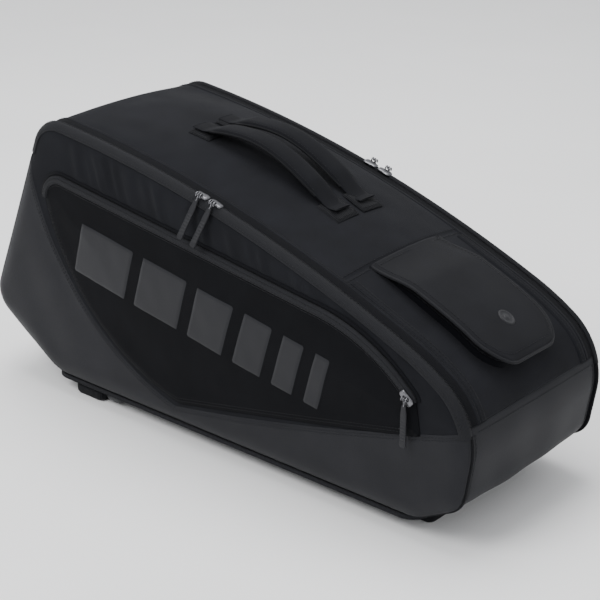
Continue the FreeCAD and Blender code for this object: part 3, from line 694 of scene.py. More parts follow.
def rim_strip(names, profile, pitch=3.0):
    """A closed profile of (|y|, height above the outline) carried along the outline on the near side."""
    path, out = rim_frame(names, pitch)
    profile = np.asarray(profile, float)
    points = path[:, None] + out[:, None] * profile[:, 1:] + np.array([0, -1.0, 0]) * profile[:, :1]
    rows, cols = points.shape[:2]
    faces = quads(rows, cols, wrap_cols=True) + end_caps(rows, cols)
    return points, flipped(faces), strip_uv(path, profile)


# ---------------------------------------------------------------- side shells

def coons(left, top, right, bottom, rows, cols):
    """A grid between four curves: left and right run upwards, bottom and top run forwards."""
    left, right = resample(left, rows), resample(right, rows)
    bottom, top = resample(bottom, cols), resample(top, cols)
    v, u = np.linspace(0, 1, rows)[:, None, None], np.linspace(0, 1, cols)[None, :, None]
    ruled = (1 - v) * bottom[None] + v * top[None] + (1 - u) * left[:, None] + u * right[:, None]
    corners = ((1 - u) * (1 - v) * bottom[0] + u * (1 - v) * bottom[-1]
               + (1 - u) * v * top[0] + u * v * top[-1])
    return ruled - corners


def side_grid(rows=110, cols=230):
    left = run([("heel", 0.5, 1), "chamfer", "tail", "back", ("crest", 0, 0.5)], 2)[0]
    top = run([("crest", 0.5, 1), "arch", "shoulder", "brow"], 2)[0]
    right = run(["nose", "front", ("toe", 0, 0.5)], 2)[0][::-1]
    bottom = run([("toe", 0.5, 1), "bevel", "keel", "base", ("heel", 0, 0.5)], 2)[0][::-1]
    return coons(left, top, right, bottom, rows, cols)


def make_shell(name, side):
    body = f"{name}_side"
    grid = side_grid()
    rows, cols = grid.shape[:2]
    gap, index = nearest(grid, RIM)
    normal = RIM_NORMALS[index]
    outer2 = grid - normal * np.maximum(0.5 - gap, 0)[..., None]
    outer = flat_to_side(outer2, shell_y(outer2))
    edge = border(grid)
    rim_points = np.array([outer2[r, c] for r, c in edge])
    rim_out = np.array([normal[r, c] for r, c in edge])
    rings = [flat_to_side(rim_points, 123.4), flat_to_side(rim_points - rim_out * 0.4, 121.0),
             flat_to_side(rim_points - rim_out * 4.0, 121.0)]
    points = np.concatenate([outer.reshape(-1, 3)] + rings)
    faces = flipped(quads(rows, cols))
    count, first = len(edge), rows * cols
    loop = [r * cols + c for r, c in edge]
    rings_index = [loop] + [list(range(first + k * count, first + (k + 1) * count)) for k in range(3)]
    for a, b in zip(rings_index, rings_index[1:]):
        for k in range(count):
            k1 = (k + 1) % count
            faces.append([a[k], a[k1], b[k1], b[k]])
    uv = grid_uv(outer).reshape(-1, 2)
    uv = np.concatenate([uv] + [uv[loop] + (0, 3.0 * k) for k in (1, 2, 3)])
    mesh(f"{name}_side_fabric", points, faces, MAT["side"], body, uv, side,
         f"{name}_side_panel")

    shrink = 4.0 * np.maximum(1 - (gap - 0.5) / 40, 0)
    inner2 = outer2 - normal * shrink[..., None]
    quilt = np.abs(np.sin(math.pi * (grid[..., 0] + grid[..., 1]) / 62)) * np.abs(
        np.sin(math.pi * (grid[..., 0] - grid[..., 1]) / 62))
    puff = 2.6 * np.minimum(quilt * 2.2, 1) * smooth(14, 30, gap)
    inner_y = 129.6 - 8.0 * (1 - np.clip(gap / 22, 0, 1)) ** 2 - puff
    inner = flat_to_side(inner2, np.maximum(inner_y, 121.0))
    mesh(f"{name}_quilted_lining", inner, quads(rows, cols), MAT["lining"], body,
         grid_uv(inner), side, f"{name}_foam_lining")


SEAM_REAR = ((84, 300), (158, 138), (338, 22))
SEAM_FRONT = ((338, 22), (560, 68), (800, 137))


def make_lower(name, side):
    """The coated lower fabric, laid over the shell below its curved seam."""
    seam = np.concatenate([arc(*SEAM_REAR, 200)[:-1], arc(*SEAM_FRONT, 200)])
    seam = seam[inside(seam, RIM)]
    low_line, low_normals = run(SEWN_NAMES, 2)
    low_line, low_normals = low_line[::-1], low_normals[::-1]
    start = nearest(seam[:1], low_line)[1][0]
    low_line, low_normals = low_line[start:], low_normals[start:]
    stop = nearest(seam[-1:], low_line)[1][0]
    low_line, low_normals = low_line[:stop + 1], low_normals[:stop + 1]
    seam_s, low_s = lengths(seam), lengths(low_line)
    pairs = [(0, 0)]
    for a, b in (((158, 138), OUTLINE["chamfer"].at(0.35)), ((250, 64), OUTLINE["heel"].at(0.2)),
                 ((338, 22), (338, 0)), ((560, 68), (560, 0)), ((680, 102), OUTLINE["keel"].at(0.5)),
                 ((742, 119), OUTLINE["toe"].at(0.5))):
        pairs.append((seam_s[nearest(np.array([a], float), seam)[1][0]],
                      low_s[nearest(np.array([b], float), low_line)[1][0]]))
    pairs.append((seam_s[-1], low_s[-1]))
    cols, rows = 300, 40
    at = np.linspace(0, seam_s[-1], cols)
    low_at = np.interp(at, *zip(*pairs))
    upper, lower = pick(at, seam_s, seam), pick(low_at, low_s, low_line)
    lower_out = unit(pick(low_at, low_s, low_normals))
    v = np.linspace(0, 1, rows)[:, None, None]
    grid = (1 - v) * upper[None] + v * lower[None]
    gap, index = nearest(grid, RIM)
    seam_gap, _ = nearest(grid, seam)
    y = shell_y(grid) + 0.2 + 1.0 * smooth(0, 2.5, seam_gap)
    soft = smooth(4, 30, seam_gap) * smooth(6, 30, gap)
    y = y + soft * np.maximum(ripples(grid[..., 0], grid[..., 1], 31, 70, 220) * 0.5 + 0.4, -0.3)
    body = flat_to_side(grid, y)
    tails = [flat_to_side(lower + lower_out * a, d) for a, d in ((0.3, 125.4), (0.4, 123.6), (0.1, 121.6))]
    points = np.concatenate([body] + [t[None] for t in tails])
    mesh(f"{name}_lower_fabric", points, quads(rows + 3, cols), MAT["coated"], f"{name}_side",
         grid_uv(points), side, f"{name}_lower_panel")
    offset = np.gradient(seam, axis=0)
    down = unit(np.stack([offset[:, 1], -offset[:, 0]], -1))
    rows_made = []
    for shift in (3.2, 6.4):
        line = seam + down * shift
        keep = nearest(line, RIM)[0] > 8
        line = line[keep & inside(line, RIM)]
        rows_made.append((flat_to_side(line, shell_y(line) + 1.25), (0, -1, 0)))
    stitching(f"{name}_lower_stitching", rows_made, MAT["thread"], f"{name}_side", side)


def make_edges(name, side):
    """The main zip's lip on the shell, and the piping along the shell's sewn edges."""
    body = f"{name}_side"
    lip = [(121.0, -3.0), (120.9, -0.2), (121.5, 1.0), (123.0, 1.7), (125.4, 1.5), (127.4, 0.5),
           (129.3, -1.6), (130.9, -4.2), (132.1, -7.4), (132.3, -8.6), (131.6, -9.2), (130.6, -8.0),
           (128.6, -4.0), (126.0, -1.4)]
    points, faces, uv = rim_strip([("back", 0.93, 1)] + TOP_NAMES + [("nose", 0, 0.25)], lip, 2.5)
    mesh(f"{name}_zip_lip", points, faces, MAT["lip"], body, uv, side, f"{name}_side_zip")
    path, out = rim_frame(TOP_NAMES, 2.5)
    rows = [(path + np.array([0, -131.3, 0]) + out * -5.3, unit(out + (0, -1.6, 0))),
            (path + np.array([0, -123.2, 0]) + out * 1.75, out)]
    stitching(f"{name}_lip_stitching", rows, MAT["thread"], body, side)
    pipe = circle(1.9, 12) + (122.6, 0.7)
    points, faces, uv = rim_strip([("nose", 0.2, 1)] + SEWN_NAMES[1:-1] + [("back", 0, 0.95)], pipe, 3.0)
    mesh(f"{name}_piping", points, faces, MAT["piping"], body, uv, side,
         f"{name}_side_binding")


def coil_parts(path, out, sideways, pitch=1.9, size=(1.25, 1.9, 1.1)):
    """A row of zip teeth: one small loaf per step along the path."""
    s = lengths(path)
    count = int(s[-1] / pitch)
    at = (np.arange(count) + 0.5) * pitch
    spot, up, side_way = pick(at, s, path), unit(pick(at, s, out)), unit(pick(at, s, sideways))
    along = np.cross(up, side_way)
    half = np.array(size) / 2
    box = np.array([[-1, -1, -1], [1, -1, -1], [1, 1, -1], [-1, 1, -1], [-0.6, -0.9, 1], [0.6, -0.9, 1],
                    [0.6, 0.9, 1], [-0.6, 0.9, 1]]) * half
    points = (spot[:, None] + along[:, None] * box[None, :, :1] + side_way[:, None] * box[None, :, 1:2]
              + up[:, None] * box[None, :, 2:])
    faces = []
    for b in range(0, count * 8, 8):
        faces += [[b + 3, b + 2, b + 1, b], [b + 4, b + 5, b + 6, b + 7], [b, b + 1, b + 5, b + 4],
                  [b + 1, b + 2, b + 6, b + 5], [b + 2, b + 3, b + 7, b + 6], [b + 3, b, b + 4, b + 7]]
    return points.reshape(-1, 3), faces


def make_main_zip(name, side):
    """The long zip: a tape on the band with its row of teeth, and the shell's row facing it."""
    tape = [(106.5, -0.6), (107.0, 0.5), (108.5, 0.7), (113.0, 0.1), (118.2, -0.9), (119.4, -1.2),
            (119.4, -2.2), (107.0, -2.4)]
    points, faces, uv = rim_strip(TOP_NAMES, tape, 2.5)
    mesh(f"{name}_band_tape", points, faces, MAT["tape"], "bag_frame", uv, side,
         f"{name}_band_zip")
    path, out = rim_frame(TOP_NAMES, 2.0)
    across = facing((0, -1, 0), path)
    for label, y, body in (("band", 118.6, "bag_frame"), ("shell", 121.2, f"{name}_side")):
        points, faces = coil_parts(path + np.array([0, -y, 0]) + out * -0.9, out, across)
        mesh(f"{name}_{label}_teeth", points, faces, MAT["coil"], body, side=side)
    hem = [(101.5, 0.1), (102.3, 1.0), (104.5, 1.5), (106.8, 1.4), (108.0, 0.9), (108.2, -0.4), (106.0, -0.8),
           (102.0, -0.6)]
    points, faces, uv = rim_strip(TOP_NAMES, hem, 2.5)
    mesh(f"{name}_top_hem", points, faces, MAT["top"], "bag_frame", uv, side)
    rows = [(path + np.array([0, -104.2, 0]) + out * 1.55, out)]
    stitching(f"{name}_hem_stitching", rows, MAT["thread"], "bag_frame", side)


# ---------------------------------------------------------------- side pockets

BAR_WIDTHS, BAR_START = (92.0, 74.0, 58.0, 44.0, 32.0, 22.0), (168.0, 160.0)
BAR_FALL, BAR_LEAN, BAR_HEIGHT, BAR_GAP = 0.165, 20, 68, 16


def make_pocket(name, side):
    body = f"{name}_pocket"
    cols, rows = 260, 84
    top, low = resample(POCKET_TOP, 400), resample(POCKET_LOW, 400)
    keep = np.linspace(0, 399, cols)
    top, low = pick(keep, np.arange(400), top), pick(keep, np.arange(400), low)
    v = np.linspace(0, 1, rows)[:, None, None]
    v = 0.5 - 0.5 * np.cos(math.pi * v)
    grid = (1 - v) * low[None] + v * top[None]
    grid = grid[:, 1:-1]
    outer = flat_to_side(grid, pocket_y(grid))
    inner = flat_to_side(grid, np.maximum(pocket_y(grid) - 3.2, 134.6))
    points, faces, uv = slab(outer, inner)
    mesh(f"{name}_pocket_fabric", points, flipped(faces), MAT["pocket"], body, uv, side,
         f"{name}_pocket_panel")

    line = resample(POCKET_TOP[:-10], 260)
    way = unit(np.gradient(line, axis=0))
    down = np.stack([way[:, 1], -way[:, 0]], -1)
    profile = [(-1.2, 134.8), (-1.6, 136.6), (-0.6, 138.6), (1.6, 139.9), (4.6, 140.5), (7.4, 140.3),
               (8.9, 139.6), (9.3, 138.4), (8.0, 137.6), (3.0, 137.0)]
    points = np.stack([flat_to_side(line + down * a, d) for a, d in profile], 1)
    faces = quads(len(line), len(profile), wrap_cols=True) + end_caps(len(line), len(profile))
    mesh(f"{name}_pocket_lip", points, flipped(faces), MAT["lip"], body,
         strip_uv(line, profile), side)
    rows_made = [(flat_to_side(line + down * shift, y), (0, -1, 0))
                 for shift, y in ((1.9, 140.1), (7.2, 140.45))]
    lower = resample(POCKET_LOW, 260)
    lower_way = unit(np.gradient(lower, axis=0))
    upward = np.stack([-lower_way[:, 1], lower_way[:, 0]], -1)
    for shift in (5.0, 9.0):
        edge = (lower + upward * shift)[6:-8]
        rows_made.append((flat_to_side(edge, pocket_y(edge) + 0.1), (0, -1, 0)))
    stitching(f"{name}_pocket_stitching", rows_made, MAT["thread"], body, side)

    path = flat_to_side(line + down * 10.6, pocket_y(line + down * 10.6) + 0.1)
    way3 = np.stack([down[:, 0], np.zeros(len(line)), down[:, 1]], -1)
    out = facing((0, -1, 0), path)
    points, faces = coil_parts(path[8:], out[8:], way3[8:], size=(1.2, 1.8, 1.0))
    mesh(f"{name}_pocket_teeth", points, faces, MAT["coil"], body, side=side)

    upper = line - down * 3.4
    profile = [(-3.0, 134.0), (-2.6, 135.2), (0.4, 135.5), (2.6, 135.1), (2.8, 133.9)]
    points = np.stack([flat_to_side(upper + down * a, d) for a, d in profile], 1)
    faces = quads(len(line), len(profile))
    mesh(f"{name}_pocket_upper_tape", points, flipped(faces), MAT["tape"], f"{name}_side",
         strip_uv(line, profile), side)

    loop = np.concatenate([POCKET_TOP[:40][::-1], POCKET_LOW[1:]])
    loop = resample(loop, 240)
    way = unit(np.gradient(loop, axis=0))
    inward = np.stack([-way[:, 1], way[:, 0]], -1)
    profile = [(-1.4, 133.9), (-0.6, 134.7), (1.5, 135.4), (2.6, 136.3)]
    points = np.stack([flat_to_side(loop + inward * a, d) for a, d in profile], 1)
    faces = quads(len(loop), len(profile))
    gusset = mesh(f"{name}_pocket_gusset", points, faces, MAT["gusset"], None,
                  strip_uv(loop, profile), side)
    start, end = metres([[400, side * 134.0, 120]])[0], metres([[400, side * 136.2, 120]])[0]
    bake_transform(gusset)

    bars, uvs, x = [], [], BAR_START[0]
    for width in BAR_WIDTHS:
        u, w = np.linspace(0, 1, int(width / 3) + 3), np.linspace(0, 1, 26)
        z = BAR_START[1] - (x - BAR_START[0]) * BAR_FALL
        spot = np.stack([x + u[None] * width + w[:, None] * BAR_LEAN,
                         z - u[None] * width * BAR_FALL + w[:, None] * BAR_HEIGHT], -1)
        face_y = pocket_y(spot)
        edge = np.minimum(np.minimum(u, 1 - u)[None] * width, np.minimum(w, 1 - w)[:, None] * BAR_HEIGHT)
        lifted = np.where(edge <= 0, face_y - 0.3, face_y + 0.05 + 0.75 * smooth(0, 1.6, edge))
        grid = flat_to_side(spot, lifted)
        bars.append((grid.reshape(-1, 3), flipped(quads(*grid.shape[:2]))))
        uvs.append(grid_uv(grid).reshape(-1, 2))
        x += width + BAR_GAP
    points, faces = joined(bars)
    mesh(f"{name}_raised_bars", points, faces, MAT["print"], body, np.concatenate(uvs), side,
         f"{name}_side_print")


# ---------------------------------------------------------------- band: top, front, rear, base, divider

def make_top():
    line = resample(np.stack([CROWN_FOOT[:, 0], CROWN_FOOT[:, 1], CROWN_X], -1), 330)[:, 2]
    y = np.linspace(-TOP_HALF, TOP_HALF, 110)
    gx, gy = np.meshgrid(line, y, indexing="ij")
    edge = smooth(0, 16, TOP_HALF - np.abs(gy))
    slack = edge * smooth(110, 170, gx) * (1 - 0.75 * smooth(560, 600, gx))
    lift = slack * (ripples(gx, gy, 41, 70, 210) * 1.1 + ripples(gx, gy, 42, 26, 60) * 0.18)
    for foot_x in HANDLE_X:
        for foot_y in (-HANDLE_Y, HANDLE_Y):
            reach = np.hypot((gx - foot_x) / 34, (gy - foot_y) / 30)
            lift = lift - 1.2 * np.exp(-reach ** 2) * edge
    lift = lift - 1.3 * np.exp(-((gx - 577) / 2.2) ** 2) * edge
    outer = on_top(gx, gy, lift)
    inner = on_top(gx, gy, -4.0)
    points, faces, uv = slab(outer, inner)
    mesh("top_fabric", points, flipped(faces), MAT["top"], "bag_frame", uv, NEAR, "top_panel")
    rows = []
    for x_seam in (573.0, 581.0):
        ys = np.linspace(-104, 104, 80)
        rows.append((on_top(np.full(80, x_seam), ys, 0.2), up_at(np.full(80, x_seam))))
    stitching("top_seam_stitching", rows, MAT["thread"], "bag_frame")


def make_side_ledge(name, side):
    """The stitched strip beside the pod, along the edge of the top's front half."""
    keep = TOP_LINE[:, 0] > 584
    x = TOP_LINE[keep, 0]
    profile = [(92.0, -0.4), (92.6, 0.8), (94.0, 1.5), (98.0, 1.6), (101.5, 1.5), (102.6, 1.2), (102.6, -0.8)]
    points = np.stack([on_top(x, np.full(len(x), -y), lift) for y, lift in profile], 1)
    faces = quads(len(x), len(profile))
    uv = grid_uv(points)
    mesh(f"{name}_ledge", points, faces, MAT["top"], "bag_frame", uv, side)
    rows = [(on_top(x, -y, 1.65), up_at(x)) for y in (95.0, 99.5)]
    stitching(f"{name}_ledge_stitching", rows, MAT["thread"], "bag_frame", side)


def make_end_panel(label, names, node, seed, bulge):
    """A coated panel across the band, soft and slightly full between its seams."""
    path, out = rim_frame(names, 3.0)
    s = lengths(path) / lengths(path)[-1]
    y = np.linspace(-120, 120, 90)
    shape = (1 - (np.abs(y) / 120) ** 2.6)[None] * (np.sin(math.pi * s) ** 0.6)[:, None]
    lift = bulge * shape - 1.6 * (np.abs(y) / 120)[None] ** 14
    lift = lift + shape * ripples(s[:, None] * lengths(path)[-1], y[None], seed, 60, 160) * 0.8
    middle = path[:, None] + np.stack([y * 0, y, y * 0], -1)[None]
    outer = middle + out[:, None] * lift[..., None]
    points, faces, uv = slab(outer, middle + out[:, None] * -4.6)
    mesh(label, points, flipped(faces), MAT["coated"], "bag_frame", uv, NEAR, node)
    rows = []
    for edge_y in (-113.5, 113.5):
        column = int(np.argmin(np.abs(y - edge_y)))
        rows.append((outer[3:-3, column] + out[3:-3] * 0.1, out[3:-3]))
    for row in (3, -4):
        rows.append((outer[row, 4:-4] + out[row] * 0.1, out[row]))
    stitching(f"{label}_stitching", rows, MAT["thread"], "bag_frame")


def box_loop(low, high, radius, count=8):
    """A rounded rectangle's points in plan, counterclockwise from above."""
    (x0, y0), (x1, y1) = low, high
    return rounded(x1 - x0, y1 - y0, radius, count, ((x0 + x1) / 2, (y0 + y1) / 2))


def dense_loop(loop, pitch):
    closed = np.concatenate([loop, loop[:1]])
    return resample(closed, int(lengths(closed)[-1] / pitch) + 1)[:-1]


def pillow(name, low, high, radius, steps, material, body, node=None, side=NEAR, pitch=5.0, sag=None,
           rings=8):
    """A padded slab: rings of a rounded rectangle at (inset, z) steps, closed by finer and finer rings."""
    (x0, y0), (x1, y1) = low, high
    base = dense_loop(box_loop(low, high, radius), pitch)
    centre = np.array([(x0 + x1) / 2, (y0 + y1) / 2])
    half = np.array([(x1 - x0) / 2, (y1 - y0) / 2])

    def ring(inset, z):
        scale = np.maximum(half - inset, 0.02) / half
        return level(centre + (base - centre) * scale, z)

    stack = []
    first_inset, first_z = steps[0]
    last_inset, last_z = steps[-1]
    limit = min(half)
    for k in range(rings, 0, -1):
        inset = first_inset + (limit - first_inset) * k / rings
        stack.append(ring(inset, first_z))
    stack += [ring(inset, z) for inset, z in steps]
    for k in range(1, rings + 1):
        stack.append(ring(last_inset + (limit - last_inset) * k / rings, last_z))
    points = np.array(stack)
    if sag is not None:
        points = sag(points)
    faces = quads(len(points), len(base), wrap_cols=True)
    uv = points[..., :2] + points[..., 2:] * (0.0, 1.0)
    return mesh(name, points, flipped(faces), material, body, uv, side, node)


def make_base():
    low, high = frame_box("base_panel")
    low_x, high_x = low[0], high[0]
    steps = [(7, -3.2), (2.6, -3.4), (0.7, -4.4), (-0.2, -6.4), (-0.4, -8.2), (0.2, -10.6), (1.8, -12.3),
             (6, -13.0)]
    pillow("base_pad", (low_x, -121), (high_x, 121), 24, steps, MAT["base"], "bag_frame",
           "base_panel", pitch=4.0)
    loop = dense_loop(box_loop((low_x - 0.3, -121.3), (high_x + 0.3, 121.3), 24), 3.0)
    path, out = level(loop, -8.6), loop_out(loop)
    points, faces, uv = sweep(path, out, rounded(7.0, 1.9, 0.8, 3), closed=True)
    mesh("base_binding", points, faces, MAT["binding"], "bag_frame", uv)
    rows = [(path + out * 1.0 + (0, 0, dz), out) for dz in (-2.1, 2.1)]
    stitching("base_stitching", rows, MAT["thread"], "bag_frame")


def frame_box(node):
    """A CAD node's lowest and highest corners in bag coordinates."""
    low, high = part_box(node)
    return np.array(low) * 1000 + ORIGIN, np.array(high) * 1000 + ORIGIN


def make_divider():
    grid = side_grid(50, 110)
    gap, index = nearest(grid, RIM)
    inner2 = grid - RIM_NORMALS[index] * (6.0 * np.maximum(1 - gap / 60, 0))[..., None]
    inner2[..., 1] = np.maximum(inner2[..., 1], 0.5)
    wave = smooth(6, 50, gap) * ripples(grid[..., 0], grid[..., 1], 51, 90, 240) * 1.6
    near_face = np.stack([inner2[..., 0], wave - 1.5, inner2[..., 1]], -1)
    far_face = np.stack([inner2[..., 0], wave + 1.5, inner2[..., 1]], -1)
    points, faces, uv = slab(near_face, far_face)
    mesh("divider_fabric", points, flipped(faces), MAT["lining"], "bag_frame", uv, NEAR,
         "center_divider")


# ---------------------------------------------------------------- pod

POD_REAR, POD_FRONT, POD_HALF, POD_CORNER = 578.0, 748.0, 64.0, 34.0


def pod_half(x, inset=0.0):
    """Half the pod's width at x."""
    start = POD_FRONT - POD_CORNER
    reach = np.clip(np.asarray(x, float) - start, 0, POD_CORNER)
    radius = POD_CORNER
    return POD_HALF - inset - (radius - np.sqrt(np.maximum(radius ** 2 - reach ** 2, 0)))


def lid_lift(x, y):
    """Height of the lid's upper face above the outline."""
    rear = crown_at(x, y) + 3.2
    full = 20.5 + 3.0 * (1 - (y / POD_HALF) ** 2)
    grown = smooth(574, 640, x)
    return rear * (1 - grown) + full * grown


def pod_path(inset, pitch=3.0):
    """The pod's plan from its rear near corner round the front to its rear far corner."""
    radius = POD_CORNER - inset
    side_y, front_x = POD_HALF - inset, POD_FRONT - inset
    turn = np.linspace(-math.pi / 2, 0, 16)
    near_corner = np.stack([front_x - radius + radius * np.cos(turn),
                            -side_y + radius + radius * np.sin(turn)], -1)
    far_corner = near_corner[::-1] * (1, -1)
    whole = np.concatenate([[(POD_REAR, -side_y)], near_corner, far_corner, [(POD_REAR, side_y)]])
    return resample(whole, int(lengths(whole)[-1] / pitch))


def make_pod():
    start = POD_FRONT - POD_CORNER
    straight_x = np.linspace(POD_REAR, start, 60)
    bend_x = start + POD_CORNER * np.sin(np.linspace(0, math.pi / 2, 26))[1:]
    x = np.concatenate([straight_x, bend_x])
    v = np.linspace(-1, 1, 64)
    v = np.sign(v) * (1 - (1 - np.abs(v)) ** 1.35)
    half = np.maximum(pod_half(x, 0.5), 1.0)
    gx, gy = np.broadcast_arrays(x[:, None], half[:, None] * v[None])
    edge = np.maximum(np.minimum(half[:, None] - np.abs(gy), POD_FRONT - 0.5 - gx), 0)
    drop = 1.9 * (1 - np.clip(edge / 7, 0, 1)) ** 2
    loose = smooth(4, 26, edge) * ripples(gx, gy, 61, 60, 150) * 0.45
    top = above(gx, gy, lid_lift(gx, gy) - drop + loose)
    under = above(gx, gy, lid_lift(gx, gy) - 4.4)
    points, faces, uv = slab(top, under)
    mesh("pod_lid_fabric", points, flipped(faces), MAT["pod"], "pod_lid", uv, NEAR, "pod_lid")

    plan = pod_path(0.2)
    lift = lid_lift(plan[:, 0], plan[:, 1])
    path = above(plan[:, 0], plan[:, 1], lift - 2.6)
    tangent = unit(np.gradient(plan, axis=0))
    out = np.stack([tangent[:, 1], -tangent[:, 0], np.zeros(len(plan))], -1)
    points, faces, uv = sweep(path, out, circle(2.0, 12))
    mesh("pod_lid_piping", points, faces, MAT["lip"], "pod_lid", uv)
    inner_plan = pod_path(6.0)
    up = up_at(inner_plan[:, 0])
    rows = [(above(inner_plan[:, 0], inner_plan[:, 1], lid_lift(inner_plan[:, 0], inner_plan[:, 1])), up)]
    seam_x, ys = np.full(50, 584.0), np.linspace(-56, 56, 50)
    rows.append((above(seam_x, ys, lid_lift(seam_x, ys) + 0.15), up_at(seam_x)))
    stitching("pod_lid_stitching", rows, MAT["thread"], "pod_lid")

    plan = pod_path(2.4, 2.5)
    tangent = unit(np.gradient(plan, axis=0))
    inward = np.stack([-tangent[:, 1], tangent[:, 0]], -1)
    x, y = plan[:, 0], plan[:, 1]
    crown = crown_at(x, y)
    high = np.maximum(lid_lift(x, y) - 4.7, crown + 0.2)
    low = crown - 1.5
    rings = []
    for share, inset in ((0.0, -1.0), (0.08, 0.2), (0.35, 0.9), (0.5, 1.5), (0.55, 2.3),
                         (0.62, 2.3), (0.67, 1.2), (0.9, 0.3), (1.0, 0.0), (1.0, 2.6), (0.0, 2.8)):
        spot = plan + inward * inset
        rings.append(above(spot[:, 0], spot[:, 1], low + (high - low) * share))
    points = np.stack(rings, 1)
    faces = quads(len(plan), len(rings), wrap_cols=True)
    uv = grid_uv(points)
    mesh("pod_wall", points, faces, MAT["gusset"], "bag_frame", uv, NEAR,
         ["pod_gusset", "pod_zip"])
    spot = plan + inward * 1.9
    path = above(spot[:, 0], spot[:, 1], low + (high - low) * 0.585)
    out = np.stack([-inward[:, 0], -inward[:, 1], np.zeros(len(plan))], -1)
    points, faces = coil_parts(path[14:-14], out[14:-14], up_at(spot[14:-14, 0]), size=(1.2, 1.8, 1.0))
    mesh("pod_teeth", points, faces, MAT["coil"], "bag_frame")

    badge_x = 712.0
    ring = np.linspace(0, 2 * math.pi, 40, endpoint=False)
    rings = []
    for radius, height in ((9.3, -0.4), (9.2, 0.5), (8.7, 0.95), (7.4, 1.0), (6.9, 0.6), (3.2, 0.6),
                           (2.8, 0.95), (0.05, 1.0)):
        px, py = badge_x + radius * np.cos(ring), radius * np.sin(ring)
        rings.append(above(px, py, lid_lift(px, py) + height))
    points = np.array(rings)
    mesh("pod_badge_disc", points, quads(len(rings), 40, wrap_cols=True), MAT["badge"], "pod_lid",
         np.stack([points[..., 0], points[..., 1]], -1), NEAR, "pod_badge")


# ---------------------------------------------------------------- handles

HANDLE_FREE = 84.0


def handle_line(y, count=150):
    """The strap's line from patch to patch: flat on the top at both ends, bowed in between."""
    x = np.linspace(HANDLE_X[0] - 12, HANDLE_X[1] + 12, count)
    ends = [on_top(HANDLE_X[k], y, 2.6)[2] for k in (0, 1)]
    chord = np.interp(x, HANDLE_X, ends)
    share = np.clip((x - HANDLE_X[0]) / (HANDLE_X[1] - HANDLE_X[0]), 0, 1)
    bow = 25.0 * np.sin(math.pi * share) ** 1.15
    resting = on_top(x, np.full(count, y), 3.0)[:, 2]
    z = np.maximum(chord + bow, resting)
    return np.stack([x, np.full(count, float(y)), z], -1)


def make_handle(name, side):
    y = side * HANDLE_Y
    line = handle_line(y)
    middle = sum(HANDLE_X) / 2
    low, high = middle - HANDLE_FREE, middle + HANDLE_FREE
    out = facing((0, 0, 1), line)
    share = np.clip(1 - np.abs(line[:, 0] - middle) / (high - middle + 14), 0, 1)
    body_full = smooth(0, 0.34, share)
    width = 27.0 + 4.5 * body_full
    thick = 2.4 + 8.6 * body_full
    count = 28
    angle = np.linspace(0, 2 * math.pi, count, endpoint=False)
    profile = np.zeros((len(line), count, 2))
    for k, a in enumerate(angle):
        c, s_ = math.cos(a), math.sin(a)
        profile[:, k, 0] = np.sign(c) * abs(c) ** 0.62 * width / 2
        profile[:, k, 1] = np.sign(s_) * abs(s_) ** 0.85 * thick / 2 * (1.0 if s_ > 0 else 0.8) + thick * 0.18
    points, _, uv = sweep(line, out, profile)
    cuts = (line[:, 0] < low, (line[:, 0] >= low) & (line[:, 0] <= high), line[:, 0] > high)
    first, last = np.argmax(cuts[1]), len(line) - 1 - np.argmax(cuts[1][::-1])
    spans = (("rear_end", 0, first), ("pad", first, last), ("front_end", last, len(line) - 1))
    for label, a, b in spans:
        part, part_uv = points[a:b + 1], uv[a:b + 1]
        faces = quads(len(part), count, wrap_cols=True)
        if label != "pad":
            faces.append(end_caps(len(part), count)[0 if label == "rear_end" else 1])
        if label == "pad":
            piece = mesh(f"{name}_handle_pad_cover", part, faces, MAT["padding"], f"{name}_handle",
                         part_uv, NEAR, [f"{name}_handle_pad", f"{name}_handle_webbing"])
        else:
            piece = mesh(f"{name}_handle_{label}", part, faces, MAT["padding"], None, part_uv)
            ends = (line[14], line[first]) if label == "rear_end" else (line[-15], line[last])
            metres(ends[0])[0]
            metres(ends[1])[0]
            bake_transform(piece)
    pad_points = points[first:last + 1]
    rows = []
    for k_share in (0.11, 0.39):
        k = int(round(k_share * count))
        rows.append((pad_points[3:-3, k] + (0, 0, 0.1), (0, 0, 1)))
    stitching(f"{name}_handle_stitching", rows, MAT["thread"], f"{name}_handle")
    for k_edge, label in ((0, "outer"), (count // 2, "inner")):
        edge = pad_points[:, k_edge]
        tube, faces, uv = sweep(edge, facing((0, 0, 1), edge), circle(1.5))
        mesh(f"{name}_handle_{label}_piping", tube, faces, MAT["piping"], f"{name}_handle", uv)


def make_patches():
    patches, uvs, rows = [], [], []
    for side in (NEAR, FAR):
        y = side * HANDLE_Y
        for x in HANDLE_X:
            u, v = np.linspace(-1, 1, 15), np.linspace(-1, 1, 17)
            gu, gv = np.meshgrid(u, v, indexing="ij")
            edge = np.minimum(1 - np.abs(gu), 1 - np.abs(gv))
            lift = np.where(edge <= 0, -0.6, 1.3 + 0.4 * smooth(0, 0.25, edge))
            grid = on_top(x + gu * 17, y + gv * 19, lift)
            patches.append((grid.reshape(-1, 3), quads(15, 17)))
            uvs.append(grid_uv(grid).reshape(-1, 2))
            corners = [(-0.82, -0.84), (0.82, -0.84), (0.82, 0.84), (-0.82, 0.84), (-0.82, -0.84),
                       (0.82, 0.84)]
            loop = resample(np.array(corners), 90)
            rows.append((on_top(x + loop[:, 0] * 17, y + loop[:, 1] * 19, 1.75), (0, 0, 1)))
    points, faces = joined(patches)
    mesh("handle_patch_cloth", points, faces, MAT["webbing"], "bag_frame",
         np.concatenate(uvs), NEAR, "handle_patches")
    stitching("handle_patch_stitching", rows, MAT["thread"], "bag_frame")


# ---------------------------------------------------------------- shoulder straps

STRAP_X, STRAP_Y, BELT_Y = (306, 664), 54.0, 98.0


